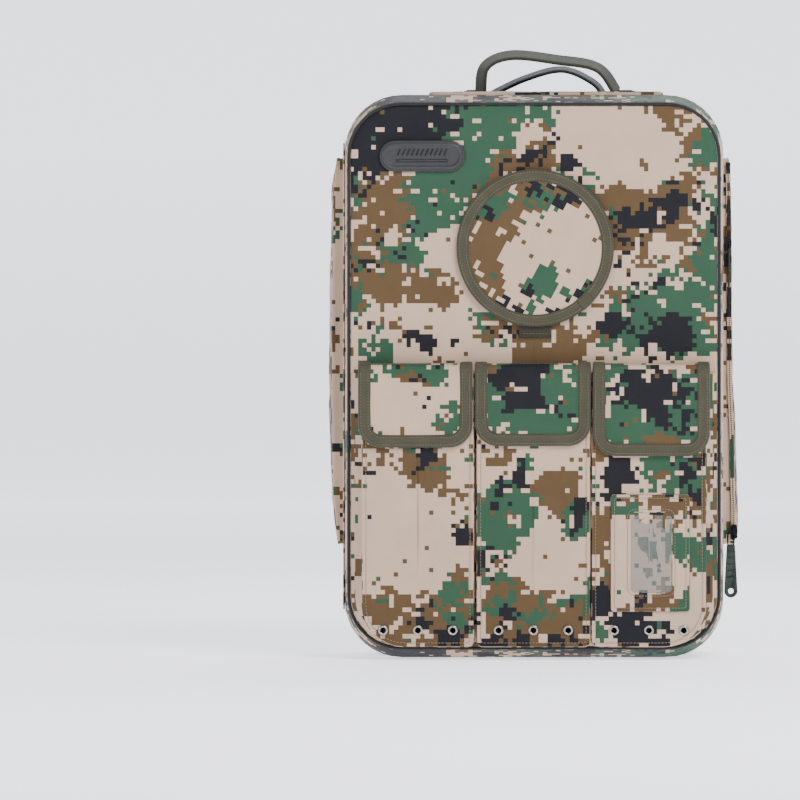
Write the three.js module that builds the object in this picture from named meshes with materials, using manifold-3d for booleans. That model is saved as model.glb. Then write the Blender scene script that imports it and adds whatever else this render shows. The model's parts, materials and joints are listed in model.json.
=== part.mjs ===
// Trauma backpack standing on its base: a zipped lid on a deep shell, three flapped pockets,
// a round emblem cover, two carry handles, side pouches, a back pad and shoulder straps.
// Millimetres, +Z up, front towards -Y, origin at the middle of the base.

import * as THREE from 'three';
import { mergeVertices } from 'three/addons/utils/BufferGeometryUtils.js';
import Module from 'manifold-3d';

const wasm = await Module();
wasm.setup();

// ---- driving dimensions ----

const gap = 0.3; // clearance between pieces that lie against each other

const body = { halfWidth: 165, height: 490, corner: 50, zipY: -41.5, edgeToZip: 3, backY: 68.5 };
const shell = { wall: 5, back: 6 };
const lidBox = { halfWidth: 161, inset: 8, wall: 4, seatY: -75.5, panelY: -79.5, skin: 5 };
const piping = { width: 3.1, depth: 3.6 };
const tape = { thick: 1.6, width: 2.5 };
const hingeSide = { z0: 40, z1: 450 }; // where the lid is joined, so the zip leaves this edge out
const gusset = { x: 0.4, thick: 1.2, y0: -38, y1: -18, margin: 20 };
const frameSheet = { halfWidth: 140, z0: 20, z1: 470, corner: 30, thick: 1.5, clearance: 0.8 };

const pocket = { frontY: -95.5, wall: 2, baseZ: 12, mouthZ: 250, slope: 9.5, outerCorner: 40 };
const pocketFronts = {
  left: { x0: -148, x1: -52, outer: -1 },
  middle: { x0: -49, x1: 48, outer: 0 },
  right: { x0: 50, x1: 148, outer: 1 },
};
const eyelet = { flange: 4.4, barrel: 3, bore: 2.4, z: 26, spacing: 30, hole: 3.3 };

const flap = { hingeY: -90.5, hingeZ: 254, faceY: -97.3, thick: 2.6, binding: 8.5, corner: 20 };
const flapSizes = {
  left: { x0: -151.5, x1: -52.9, z0: 183.4 },
  middle: { x0: -51.1, x1: 49, z0: 184.6 },
  right: { x0: 50.5, x1: 151.5, z0: 176 },
};

const emblem = { x: 1, z: 355.5, radius: 68, binding: 10.3, tabWidth: 28, tabDrop: 9.5, tabHeight: 22 };
// Front and rear Y of each layer.
const emblemLayers = { disc: [-84.6, -82.4], binding: [-85.2, -81.8], tab: [-81.5, -80.1] };
const badge = { x: -96.5, z: 435, width: 74, height: 27, thick: 3, rim: 2.5 };
const idFrame = { x0: 66, x1: 134, z0: 42, z1: 143 };
const idWindow = { x0: 83, x1: 119, z0: 58, z1: 128, notch: 6 };

const topPanel = { x0: -92, x1: 113, y0: -30, y1: 50, thick: 3 };
const handle = { width: 25, thick: 3, frontY: -26.5, rearY: 45 };
const frontArch = [[-47, 492], [-43, 516], [-20, 526], [20, 522], [56, 515], [74, 492]];
const rearArch = [[-42, 492], [-8, 508], [25, 516], [52, 505], [63, 492]];

const sidePouch = { y: 21, halfDepth: 39, z0: 97, z1: 437, outerX: 177, wall: 1.6, edge: 3, corner: 14 };
const sideZip = { x0: 169, x1: 176, thick: 1.6, sliderX: 175, stripEnd: 5 };
const sideSlot = { x0: 170.5, x1: 173.5, end: 14 };
const sliderZ = { mainUpper: 361, mainLower: 347, sideRight: 110, sideLeft: 412 };

const backPad = { halfWidth: 110, z0: 40, z1: 436, thick: 13.7, corner: 30 };
const yoke = { halfWidth: 80, z0: 440, z1: 478, rearY: 85.5 };
const strap = { y0: 86, y1: 98.5, topWidth: 65, bottomWidth: 44 };
const strapLine = [[45, 436], [52, 370], [78, 250], [95, 165]];
const ladderLock = {
  x: 97, z: 149.5, width: 34, height: 23, y0: 90, y1: 94.5, bar: 3.5, slots: [-6.5, 1.5], slot: 5,
};
const webbing = { width: 25, thick: 2, foot: [146, 77.8, 42], top: [103, 90.5, 127] };
const anchor = { wing: [[112, 14], [148, 20], [156, 58], [130, 62]], thick: 3 };
const sternum = { x: 59, z: 360, width: 20, thick: 1.6, length: 36, above: 6 };
const buckle = { width: 24, length: 20, thick: 7, corner: 4, bar: 5, slotLow: -15, slotHigh: -10 };

// ---- materials ----

function cloth(color, roughness = 0.85) {
  return new THREE.MeshStandardMaterial({ color, roughness, metalness: 0 });
}

const camo = cloth(0x8f8068, 0.6);
const olive = cloth(0x5c5846);
const blackCloth = cloth(0x1b1b1c);
const meshCloth = cloth(0x232325, 0.95);
const rubber = cloth(0x161617, 0.7);
const plastic = cloth(0x18181a, 0.5);
const greenTab = cloth(0x2f3d33, 0.6);
const sheetPlastic = cloth(0x2c2c2e, 0.55);
const film = cloth(0xa8a49a, 0.15);
const nickel = new THREE.MeshStandardMaterial({ color: 0xc3c0b8, roughness: 0.3, metalness: 1 });
const darkMetal = new THREE.MeshStandardMaterial({ color: 0x2a2b2c, roughness: 0.45, metalness: 0.8 });

// ---- solids ----

function toSolid(geometry) {
  const bare = geometry.clone();
  bare.deleteAttribute('normal');
  bare.deleteAttribute('uv');
  const merged = mergeVertices(bare, 1e-4);
  return new wasm.Manifold(new wasm.Mesh({
    numProp: 3,
    vertProperties: merged.attributes.position.array,
    triVerts: Uint32Array.from(merged.index.array),
  }));
}

function toGeometry(solid) {
  const { vertProperties, triVerts } = solid.getMesh();
  const geometry = new THREE.BufferGeometry();
  geometry.setAttribute('position', new THREE.BufferAttribute(vertProperties, 3));
  geometry.setIndex(new THREE.BufferAttribute(triVerts, 1));
  geometry.computeVertexNormals();
  return geometry;
}

function join(...pieces) {
  return toGeometry(pieces.map(toSolid).reduce((whole, piece) => whole.add(piece)));
}

function cut(piece, ...tools) {
  return toGeometry(tools.map(toSolid).reduce((rest, tool) => rest.subtract(tool), toSolid(piece)));
}

function block(x0, x1, y0, y1, z0, z1) {
  const geometry = new THREE.BoxGeometry(x1 - x0, y1 - y0, z1 - z0);
  return geometry.translate((x0 + x1) / 2, (y0 + y1) / 2, (z0 + z1) / 2);
}

// Corner radii run from the low X, low Z corner round by the high X side.
function roundedRect(x0, x1, z0, z1, radii) {
  const [r0, r1, r2, r3] = typeof radii === 'number' ? Array(4).fill(radii) : radii;
  const quarter = Math.PI / 2;
  return new THREE.Shape()
    .moveTo(x0 + r0, z0)
    .lineTo(x1 - r1, z0)
    .absarc(x1 - r1, z0 + r1, r1, -quarter, 0)
    .lineTo(x1, z1 - r2)
    .absarc(x1 - r2, z1 - r2, r2, 0, quarter)
    .lineTo(x0 + r3, z1)
    .absarc(x0 + r3, z1 - r3, r3, quarter, 2 * quarter)
    .lineTo(x0, z0 + r0)
    .absarc(x0 + r0, z0 + r0, r0, 2 * quarter, 3 * quarter);
}

function polygon(points) {
  return new THREE.Shape(points.map(([x, z]) => new THREE.Vector2(x, z)));
}

// An outline drawn in X and Z, as a slab from y0 to y1.
function slab(outline, y0, y1, curveSegments = 4) {
  const geometry = new THREE.ExtrudeGeometry(outline, { depth: y1 - y0, bevelEnabled: false, curveSegments });
  return geometry.rotateX(Math.PI / 2).translate(0, y1, 0);
}

// Turns an extrusion drawn in Y and Z, so that its depth runs along X.
function alongX(geometry) {
  const [x, y, z] = [new THREE.Vector3(1, 0, 0), new THREE.Vector3(0, 1, 0), new THREE.Vector3(0, 0, 1)];
  return geometry.applyMatrix4(new THREE.Matrix4().makeBasis(y, z, x));
}

// Narrows a slab evenly towards its front face, where its rear box becomes the front box.
function taper(geometry, rear, front) {
  const { mapLinear, lerp } = THREE.MathUtils;
  geometry.computeBoundingBox();
  const { min, max } = geometry.boundingBox;
  const position = geometry.attributes.position;
  for (let i = 0; i < position.count; i++) {
    const [x, y, z] = [position.getX(i), position.getY(i), position.getZ(i)];
    const forward = (max.y - y) / (max.y - min.y);
    position.setX(i, lerp(x, mapLinear(x, rear.x0, rear.x1, front.x0, front.x1), forward));
    position.setZ(i, lerp(z, mapLinear(z, rear.z0, rear.z1, front.z0, front.z1), forward));
  }
  return geometry;
}

// The outline of a strip along a smooth line, with a width at each end.
function bandShape(line, startWidth, endWidth, steps) {
  const curve = new THREE.SplineCurve(line.map(([x, z]) => new THREE.Vector2(x, z)));
  const edge = (side) => Array.from({ length: steps + 1 }, (_, i) => {
    const t = i / steps;
    const tangent = curve.getTangentAt(t);
    const reach = side * THREE.MathUtils.lerp(startWidth, endWidth, t) / 2;
    return curve.getPointAt(t).add(new THREE.Vector2(-tangent.y, tangent.x).multiplyScalar(reach));
  });
  return new THREE.Shape([...edge(-1), ...edge(1).reverse()]);
}

function span(a, b) {
  return [Math.min(a, b), Math.max(a, b)];
}

function add(parent, name, geometry, material) {
  const mesh = new THREE.Mesh(geometry, material);
  mesh.name = name;
  parent.add(mesh);
  return mesh;
}

// ---- shells ----

function bodyOutline(inset) {
  const half = body.halfWidth - inset;
  return roundedRect(-half, half, inset, body.height - inset, body.corner - inset);
}

function rearShell() {
  const front = body.zipY + body.edgeToZip;
  const outside = slab(bodyOutline(0), front, body.backY);
  const inside = slab(bodyOutline(shell.wall), front - 1, body.backY - shell.back);
  return cut(outside, inside);
}

function lidSides(inset, frontY, rearY) {
  const rear = {
    x0: inset - body.halfWidth, x1: body.halfWidth - inset, z0: inset, z1: body.height - inset,
  };
  const front = {
    x0: inset - lidBox.halfWidth, x1: lidBox.halfWidth - inset,
    z0: lidBox.inset + inset, z1: body.height - lidBox.inset - inset,
  };
  return taper(slab(bodyOutline(inset), frontY, rearY), rear, front);
}

function panelOutline(inset) {
  const half = lidBox.halfWidth + 1 - inset;
  const low = lidBox.inset + inset;
  return roundedRect(-half, half, low, body.height - low, body.corner - 3 - inset);
}

function lidShell() {
  const rearY = body.zipY - body.edgeToZip;
  const sides = lidSides(0, lidBox.seatY, rearY);
  const panel = slab(panelOutline(piping.width + gap), lidBox.panelY, lidBox.seatY + 1);
  const inside = lidSides(lidBox.wall, lidBox.panelY + lidBox.skin, rearY + 1);
  return cut(join(sides, panel), inside);
}

function pipingRing() {
  const ring = panelOutline(0);
  ring.holes.push(panelOutline(piping.width));
  return slab(ring, lidBox.seatY - gap - piping.depth, lidBox.seatY - gap);
}

// One half of the main zip: a band round the body that stops at the hinge side.
function zipTape(y0) {
  const ring = bodyOutline(gap);
  ring.holes.push(bodyOutline(gap + tape.thick));
  const edge = -body.halfWidth;
  const hinged = block(edge - 5, edge + 15, y0 - 1, y0 + tape.width + 1, hingeSide.z0, hingeSide.z1);
  return cut(slab(ring, y0, y0 + tape.width), hinged);
}

function addShells(pack, lid) {
  const lidTapeY = body.zipY - body.edgeToZip + gap;
  const rearTapeY = body.zipY + body.edgeToZip - gap - tape.width;
  const inside = -body.halfWidth + shell.wall + gap + gusset.x;
  const foldZ = [hingeSide.z0 + gusset.margin, hingeSide.z1 - gusset.margin];
  const sheetRear = body.backY - shell.back - frameSheet.clearance;
  const { halfWidth, z0, z1, corner, thick } = frameSheet;
  const sheet = roundedRect(-halfWidth, halfWidth, z0, z1, corner);
  add(pack, 'rear_shell', rearShell(), camo);
  add(pack, 'frame_sheet', slab(sheet, sheetRear - thick, sheetRear), sheetPlastic);
  add(pack, 'rear_zip_tape', zipTape(rearTapeY), blackCloth);
  const fold = block(inside, inside + gusset.thick, gusset.y0, gusset.y1, ...foldZ);
  add(pack, 'lid_hinge_gusset', fold, blackCloth);
  add(lid, 'lid_shell', lidShell(), camo);
  add(lid, 'front_piping', pipingRing(), blackCloth);
  add(lid, 'lid_zip_tape', zipTape(lidTapeY), blackCloth);
}

// ---- pockets on the lid ----

// A pocket is open at its mouth and towards the panel that it is sewn on.
function pocketShell({ x0, x1, outer }) {
  const rearY = lidBox.panelY - gap;
  const radii = [outer < 0 ? pocket.outerCorner : 3, outer > 0 ? pocket.outerCorner : 3, 2, 2];
  const rear = {
    x0: x0 - (outer < 0 ? pocket.slope : 0), x1: x1 + (outer > 0 ? pocket.slope : 0),
    z0: pocket.baseZ, z1: pocket.mouthZ,
  };
  const front = { ...rear, x0, x1 };
  const outside = taper(
    slab(roundedRect(rear.x0, rear.x1, rear.z0, rear.z1, radii), pocket.frontY, rearY), rear, front,
  );
  const wall = pocket.wall;
  const room = { x0: rear.x0 + wall, x1: rear.x1 - wall, z0: rear.z0 + wall, z1: rear.z1 + 5 };
  const inside = taper(
    slab(
      roundedRect(room.x0, room.x1, room.z0, room.z1, radii.map((r) => Math.max(r - wall, 1))),
      pocket.frontY + wall, rearY + 1,
    ),
    room, { ...room, x0: front.x0 + wall, x1: front.x1 - wall },
  );
  const holes = eyeletPlaces(x0, x1).map((x) => {
    const drill = new THREE.CylinderGeometry(eyelet.hole, eyelet.hole, 3 * wall, 12);
    return drill.translate(x, pocket.frontY, eyelet.z);
  });
  return cut(outside, inside, ...holes);
}

function eyeletPlaces(x0, x1) {
  const middle = (x0 + x1) / 2;
  return [-1, 0, 1].map((step) => middle + step * eyelet.spacing);
}

// A pressed ring: a flange in front of the wall and a barrel through it.
function eyeletRing() {
  const profile = [
    [eyelet.bore, 2.2], [eyelet.bore, -0.9], [eyelet.bore + 0.4, -1.3], [eyelet.flange - 0.5, -1.1],
    [eyelet.flange, -gap], [eyelet.barrel, -gap], [eyelet.barrel, 2.2], [eyelet.bore, 2.2],
  ];
  return new THREE.LatheGeometry(profile.map(([r, y]) => new THREE.Vector2(r, y)), 12);
}

function addPockets(lid) {
  for (const [name, front] of Object.entries(pocketFronts)) {
    add(lid, `pocket_${name}`, pocketShell(front), camo);
    eyeletPlaces(front.x0, front.x1).forEach((x, i) => {
      const ring = add(lid, `eyelet_${name}_${i + 1}`, eyeletRing(), nickel);
      ring.position.set(x, pocket.frontY, eyelet.z);
    });
  }
}

// ---- badge and card window ----

function badgePlate() {
  const pill = (inset) => {
    const [w, h] = [badge.width / 2 - inset, badge.height / 2 - inset];
    return roundedRect(badge.x - w, badge.x + w, badge.z - h, badge.z + h, h - 0.1);
  };
  const rearY = lidBox.panelY - gap;
  const frontY = rearY - badge.thick;
  return cut(slab(pill(0), frontY, rearY), slab(pill(badge.rim), frontY - 1, frontY + 1));
}

function addLabels(lid) {
  const rearY = pocket.frontY - gap;
  const frame = roundedRect(idFrame.x0, idFrame.x1, idFrame.z0, idFrame.z1, 5);
  frame.holes.push(roundedRect(idWindow.x0, idWindow.x1, idWindow.z0, idWindow.z1, 4));
  const notch = new THREE.CylinderGeometry(idWindow.notch, idWindow.notch, 3, 16);
  notch.translate(idWindow.x0 + 14, rearY, idWindow.z1);
  const pane = roundedRect(
    idWindow.x0 + gap, idWindow.x1 - gap, idWindow.z0 + gap, idWindow.z1 - gap, 3.7,
  );
  add(lid, 'badge', badgePlate(), rubber);
  add(lid, 'id_frame', slab(frame, rearY - 1.2, rearY), camo);
  add(lid, 'id_window', cut(slab(pane, rearY - 0.6, rearY), notch), film);
}

// ---- flaps ----

// The flap's top reaches back to its hinge line over the pocket's mouth.
function flapPanel({ x0, x1, z0 }) {
  const edge = flap.binding + gap;
  const top = flap.hingeZ + flap.thick / 2;
  const corner = flap.corner - edge;
  const outline = roundedRect(x0 + edge, x1 - edge, z0 + edge, top, [corner, corner, 1, 1]);
  const hangs = slab(outline, flap.faceY - flap.thick, flap.faceY);
  const over = block(x0 + edge, x1 - edge, flap.faceY - 1, flap.hingeY, top - flap.thick, top);
  return join(hangs, over);
}

function flapBinding({ x0, x1, z0 }) {
  const [front, rear] = [flap.faceY - flap.thick - 0.7, flap.faceY + 0.4];
  const top = flap.hingeZ - 1;
  const edge = flap.binding;
  const corner = flap.corner;
  const outside = slab(roundedRect(x0, x1, z0, top, [corner, corner, 1, 1]), front, rear);
  const opening = roundedRect(x0 + edge, x1 - edge, z0 + edge, top + 5, [corner - edge, corner - edge, 1, 1]);
  return cut(outside, slab(opening, front - 1, rear + 1));
}

function addFlaps(lid) {
  for (const [name, size] of Object.entries(flapSizes)) {
    add(lid, `flap_${name}`, flapPanel(size), camo);
    add(lid, `flap_${name}_binding`, flapBinding(size), olive);
  }
}

// ---- emblem cover ----

function addEmblemCover(lid) {
  const { x, z, radius, binding, tabWidth, tabDrop, tabHeight } = emblem;
  const circle = (r) => new THREE.Shape().absarc(x, z, r, 0, 2 * Math.PI);
  const ring = circle(radius);
  ring.holes.push(circle(radius - binding));
  const foot = z - radius - tabDrop;
  const tab = roundedRect(x - tabWidth / 2, x + tabWidth / 2, foot, foot + tabHeight, 2);
  add(lid, 'cover_disc', slab(circle(radius - binding - gap), ...emblemLayers.disc, 20), camo);
  add(lid, 'cover_binding', slab(ring, ...emblemLayers.binding, 20), olive);
  add(lid, 'cover_tab', slab(tab, ...emblemLayers.tab), olive);
}

// ---- handles ----

function handleBand(line, y0) {
  const foot = body.height + gap + topPanel.thick + gap;
  const band = slab(bandShape(line, handle.thick, handle.thick, 14), y0, y0 + handle.width);
  return cut(band, block(-150, 150, y0 - 1, y0 + handle.width + 1, foot - 10, foot));
}

function addHandles(pack) {
  const base = body.height + gap;
  const plate = new THREE.ExtrudeGeometry(
    roundedRect(topPanel.x0, topPanel.x1, topPanel.y0, topPanel.y1, 6),
    { depth: topPanel.thick, bevelEnabled: false, curveSegments: 4 },
  );
  add(pack, 'top_panel', plate.translate(0, 0, base), camo);
  add(pack, 'handle_front', handleBand(frontArch, handle.frontY), olive);
  add(pack, 'handle_rear', handleBand(rearArch, handle.rearY - handle.width), olive);
}

// ---- side pouches ----

// A shallow tray with rounded edges, drawn about the pouch's own middle plane.
function tray(inset) {
  const { halfDepth, z0, z1, outerX, edge, corner } = sidePouch;
  const outline = roundedRect(
    inset - halfDepth, halfDepth - inset, z0 + inset, z1 - inset, corner - inset,
  );
  const depth = 20;
  const geometry = alongX(new THREE.ExtrudeGeometry(outline, {
    depth, bevelThickness: edge, bevelSize: edge, bevelOffset: -edge, bevelSegments: 2, curveSegments: 3,
  }));
  return geometry.translate(outerX - inset - edge - depth, 0, 0);
}

function pouchShell() {
  const { halfDepth, z0, z1, wall } = sidePouch;
  const inner = body.halfWidth + gap;
  const beyond = block(0, inner, -halfDepth - 1, halfDepth + 1, z0 - 1, z1 + 1);
  const room = tray(wall);
  const { x0, x1, end } = sideSlot;
  const slot = block(x0, x1, -halfDepth - 1, -halfDepth + wall + 1, z0 + end, z1 - end);
  return cut(tray(0), beyond, room, slot);
}

function addSidePouch(pack, side, turn) {
  const { y, halfDepth, z0, z1 } = sidePouch;
  const group = new THREE.Group();
  group.position.set(0, y, 0);
  group.rotation.z = turn;
  pack.add(group);
  const front = -halfDepth - gap;
  const strip = roundedRect(sideZip.x0, sideZip.x1, z0 + sideZip.stripEnd, z1 - sideZip.stripEnd, 2);
  add(group, `side_pouch_${side}`, pouchShell(), camo);
  add(group, `side_zip_${side}`, slab(strip, front - sideZip.thick, front), blackCloth);
}

// ---- sliders and their pulls ----

// Drawn about the pull's pivot, with the slider's outer side towards -Y.
const slider = { bodyY: 1.3, rearY: 4.5 };

function sliderBody() {
  const outline = polygon([[-2.6, -7], [2.6, -7], [3.1, 0], [2.2, 5], [-2.2, 5], [-3.1, 0]]);
  const bridge = polygon([[1.6, -4], [-1.2, -3.6], [-2.4, -2.2], [-2.4, 2.2], [-1.2, 3.6], [1.6, 4]]);
  bridge.holes.push(polygon([[-1.2, -2], [1.3, -2], [1.3, 2], [-1.2, 2]]));
  const arch = alongX(new THREE.ExtrudeGeometry(bridge, { depth: 2.4, bevelEnabled: false }));
  return join(slab(outline, slider.bodyY, slider.rearY), arch.translate(-1.2, 0, 0));
}

// A wire link with a wide triangular tab that ends in a finger hole.
function triangularPull() {
  const link = roundedRect(-3.1, 3.1, -13, 0.7, 0.6);
  link.holes.push(roundedRect(-1.9, 1.9, -11.6, -0.7, 0.4));
  const tab = polygon([[-2.5, -12.3], [2.5, -12.3], [2, -52], [-1, -59], [-6, -59], [-9, -54], [-7, -44]]);
  tab.holes.push(new THREE.Shape().absarc(-3.6, -52.5, 2.6, 0, 2 * Math.PI));
  return join(slab(link, -0.7, 0.7, 2), slab(tab, -1, 1, 5));
}

// A pull that hangs to one side, so that two of them hang next to each other.
function offsetPull(side) {
  const bar = block(...span(-1.5 * side, 3.1 * side), -0.7, 0.7, -0.7, 0.7);
  const arm = block(...span(1.9 * side, 3.1 * side), -0.7, 0.7, -10, 0.7);
  const tab = slab(roundedRect(...span(1.9 * side, 8.3 * side), -25, -9, 2), -0.9, 0.9, 3);
  return join(bar, arm, tab);
}

function addSlider(parent, name, place, turn, pullShape) {
  const group = new THREE.Group();
  group.position.set(...place);
  group.rotation.z = turn;
  parent.add(group);
  add(group, `${name}_slider`, sliderBody(), darkMetal);
  add(group, `${name}_pull`, pullShape, greenTab);
}

function addSliders(pack) {
  const mainX = body.halfWidth + gap + slider.rearY;
  const fromMiddle = sidePouch.halfDepth + gap + sideZip.thick + gap + slider.rearY;
  const frontY = sidePouch.y - fromMiddle;
  const rearY = sidePouch.y + fromMiddle;
  addSlider(pack, 'main_upper', [mainX, body.zipY, sliderZ.mainUpper], Math.PI / 2, offsetPull(-1));
  addSlider(pack, 'main_lower', [mainX, body.zipY, sliderZ.mainLower], Math.PI / 2, offsetPull(1));
  addSlider(pack, 'side_right', [sideZip.sliderX, frontY, sliderZ.sideRight], 0, triangularPull());
  addSlider(pack, 'side_left', [-sideZip.sliderX, rearY, sliderZ.sideLeft], Math.PI, triangularPull());
}

// ---- back panel and shoulder straps ----

function mirrored(line, side) {
  return line.map(([x, z]) => [side * x, z]);
}

// A flat webbing strip between two points, its broad face towards the rear.
function webbingStrip(from, to) {
  const direction = to.clone().sub(from);
  const along = direction.clone().normalize();
  const across = new THREE.Vector3(0, 1, 0).cross(along).normalize();
  const face = along.clone().cross(across);
  const strip = new THREE.BoxGeometry(webbing.width, webbing.thick, direction.length());
  strip.applyMatrix4(new THREE.Matrix4().makeBasis(across, face, along));
  return strip.translate(...from.clone().add(to).multiplyScalar(0.5).toArray());
}

function strapPad(side) {
  const outline = bandShape(mirrored(strapLine, side), strap.topWidth, strap.bottomWidth, 10);
  return slab(outline, strap.y0, strap.y1);
}

function ladderLockFrame(side) {
  const { x, z, width, height, y0, y1, bar, slots, slot } = ladderLock;
  const [left, right] = [side * x - width / 2, side * x + width / 2];
  const frame = roundedRect(left, right, z - height / 2, z + height / 2, 3);
  for (const low of slots) {
    frame.holes.push(roundedRect(left + bar, right - bar, z + low, z + low + slot, 1));
  }
  return slab(frame, y0, y1, 3);
}

function addBack(pack) {
  const rear = body.backY + gap;
  const { halfWidth, z0, z1, thick, corner } = backPad;
  const pad = slab(roundedRect(-halfWidth, halfWidth, z0, z1, corner), rear, rear + thick);
  const yokeOutline = roundedRect(-yoke.halfWidth, yoke.halfWidth, yoke.z0, yoke.z1, 12);
  add(pack, 'back_pad', pad, meshCloth);
  add(pack, 'strap_yoke', slab(yokeOutline, rear, yoke.rearY, 4), meshCloth);
}

function addStrap(pack, name, side) {
  const rear = body.backY + gap;
  const wing = mirrored(anchor.wing, side);
  const [foot, top] = [webbing.foot, webbing.top].map(([x, y, z]) => new THREE.Vector3(side * x, y, z));
  add(pack, `anchor_${name}`, slab(polygon(wing), rear, rear + anchor.thick), camo);
  add(pack, `lower_webbing_${name}`, webbingStrip(foot, top), olive);
  add(pack, `strap_pad_${name}`, strapPad(side), meshCloth);
  add(pack, `ladder_lock_${name}`, ladderLockFrame(side), plastic);
}

// Each half of the chest strap hangs from its pad, with its buckle half at the end.
function addSternumHalf(pack, name, side) {
  const { x, z, width, thick, length, above } = sternum;
  const front = strap.y1 + 0.5;
  const half = width / 2;
  const centre = side * x;
  const foot = z - length;
  const strip = roundedRect(centre - half, centre + half, foot, z + above, 1.5);
  const [left, right] = [centre - buckle.width / 2, centre + buckle.width / 2];
  const tongue = roundedRect(left, right, foot - gap - buckle.length, foot - gap, buckle.corner);
  tongue.holes.push(roundedRect(
    left + buckle.bar, right - buckle.bar, foot + buckle.slotLow, foot + buckle.slotHigh, 1,
  ));
  add(pack, `sternum_webbing_${name}`, slab(strip, front, front + thick, 2), olive);
  add(pack, `sternum_buckle_${name}`, slab(tongue, front, front + buckle.thick, 4), plastic);
}

// ---- assembly ----

const pack = new THREE.Group();
const lid = new THREE.Group();
pack.add(lid);

addShells(pack, lid);
addPockets(lid);
addLabels(lid);
addFlaps(lid);
addEmblemCover(lid);
addHandles(pack);
addSidePouch(pack, 'right', 0);
addSidePouch(pack, 'left', Math.PI);
addSliders(pack);
addBack(pack);
for (const [name, side] of [['left', -1], ['right', 1]]) {
  addStrap(pack, name, side);
  addSternumHalf(pack, name, side);
}

export default pack;
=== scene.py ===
import json
import math

import bpy
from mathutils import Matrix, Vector, noise

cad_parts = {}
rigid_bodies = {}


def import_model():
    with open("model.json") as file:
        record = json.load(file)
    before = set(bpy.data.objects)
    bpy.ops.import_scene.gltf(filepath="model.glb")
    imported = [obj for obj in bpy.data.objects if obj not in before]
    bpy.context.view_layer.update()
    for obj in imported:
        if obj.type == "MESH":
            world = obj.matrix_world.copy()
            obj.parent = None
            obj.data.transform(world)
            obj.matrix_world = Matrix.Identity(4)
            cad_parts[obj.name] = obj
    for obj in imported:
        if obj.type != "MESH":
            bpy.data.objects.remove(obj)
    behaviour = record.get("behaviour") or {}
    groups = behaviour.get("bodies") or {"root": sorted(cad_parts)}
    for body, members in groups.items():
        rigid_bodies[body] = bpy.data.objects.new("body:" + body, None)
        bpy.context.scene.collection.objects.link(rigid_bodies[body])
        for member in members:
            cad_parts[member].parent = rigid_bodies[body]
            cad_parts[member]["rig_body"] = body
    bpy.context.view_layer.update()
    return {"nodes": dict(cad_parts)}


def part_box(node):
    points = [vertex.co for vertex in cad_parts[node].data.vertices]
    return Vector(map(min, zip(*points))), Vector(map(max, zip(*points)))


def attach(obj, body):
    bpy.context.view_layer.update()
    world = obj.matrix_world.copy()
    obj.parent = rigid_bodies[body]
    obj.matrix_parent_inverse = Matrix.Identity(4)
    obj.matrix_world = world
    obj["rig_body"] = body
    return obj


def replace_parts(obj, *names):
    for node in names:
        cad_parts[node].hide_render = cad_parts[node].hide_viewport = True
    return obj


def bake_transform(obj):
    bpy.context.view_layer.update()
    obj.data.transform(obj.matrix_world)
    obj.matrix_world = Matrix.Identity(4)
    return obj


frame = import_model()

# A trauma backpack: fabric shells, pockets, flaps, pads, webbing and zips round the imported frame.
# Lengths in this script are millimetres in the frame's own axes, until a mesh is made.

MM = 0.001
FRONT = Vector((0, -1, 0))
BACK = Vector((0, 1, 0))
UP = Vector((0, 0, 1))


def box(node):
    """A CAD node's box in millimetres: (x0, x1), (y0, y1), (z0, z1)."""
    low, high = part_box(node)
    return [(low[i] / MM, high[i] / MM) for i in range(3)]


# ---- node materials ----

def linear(*rgb):
    """A colour given as 0-255 display values, as the shader's linear values."""
    def one(value):
        value /= 255
        return value / 12.92 if value <= 0.04045 else ((value + 0.055) / 1.055) ** 2.4
    return (*[one(v) for v in rgb], 1)


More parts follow.
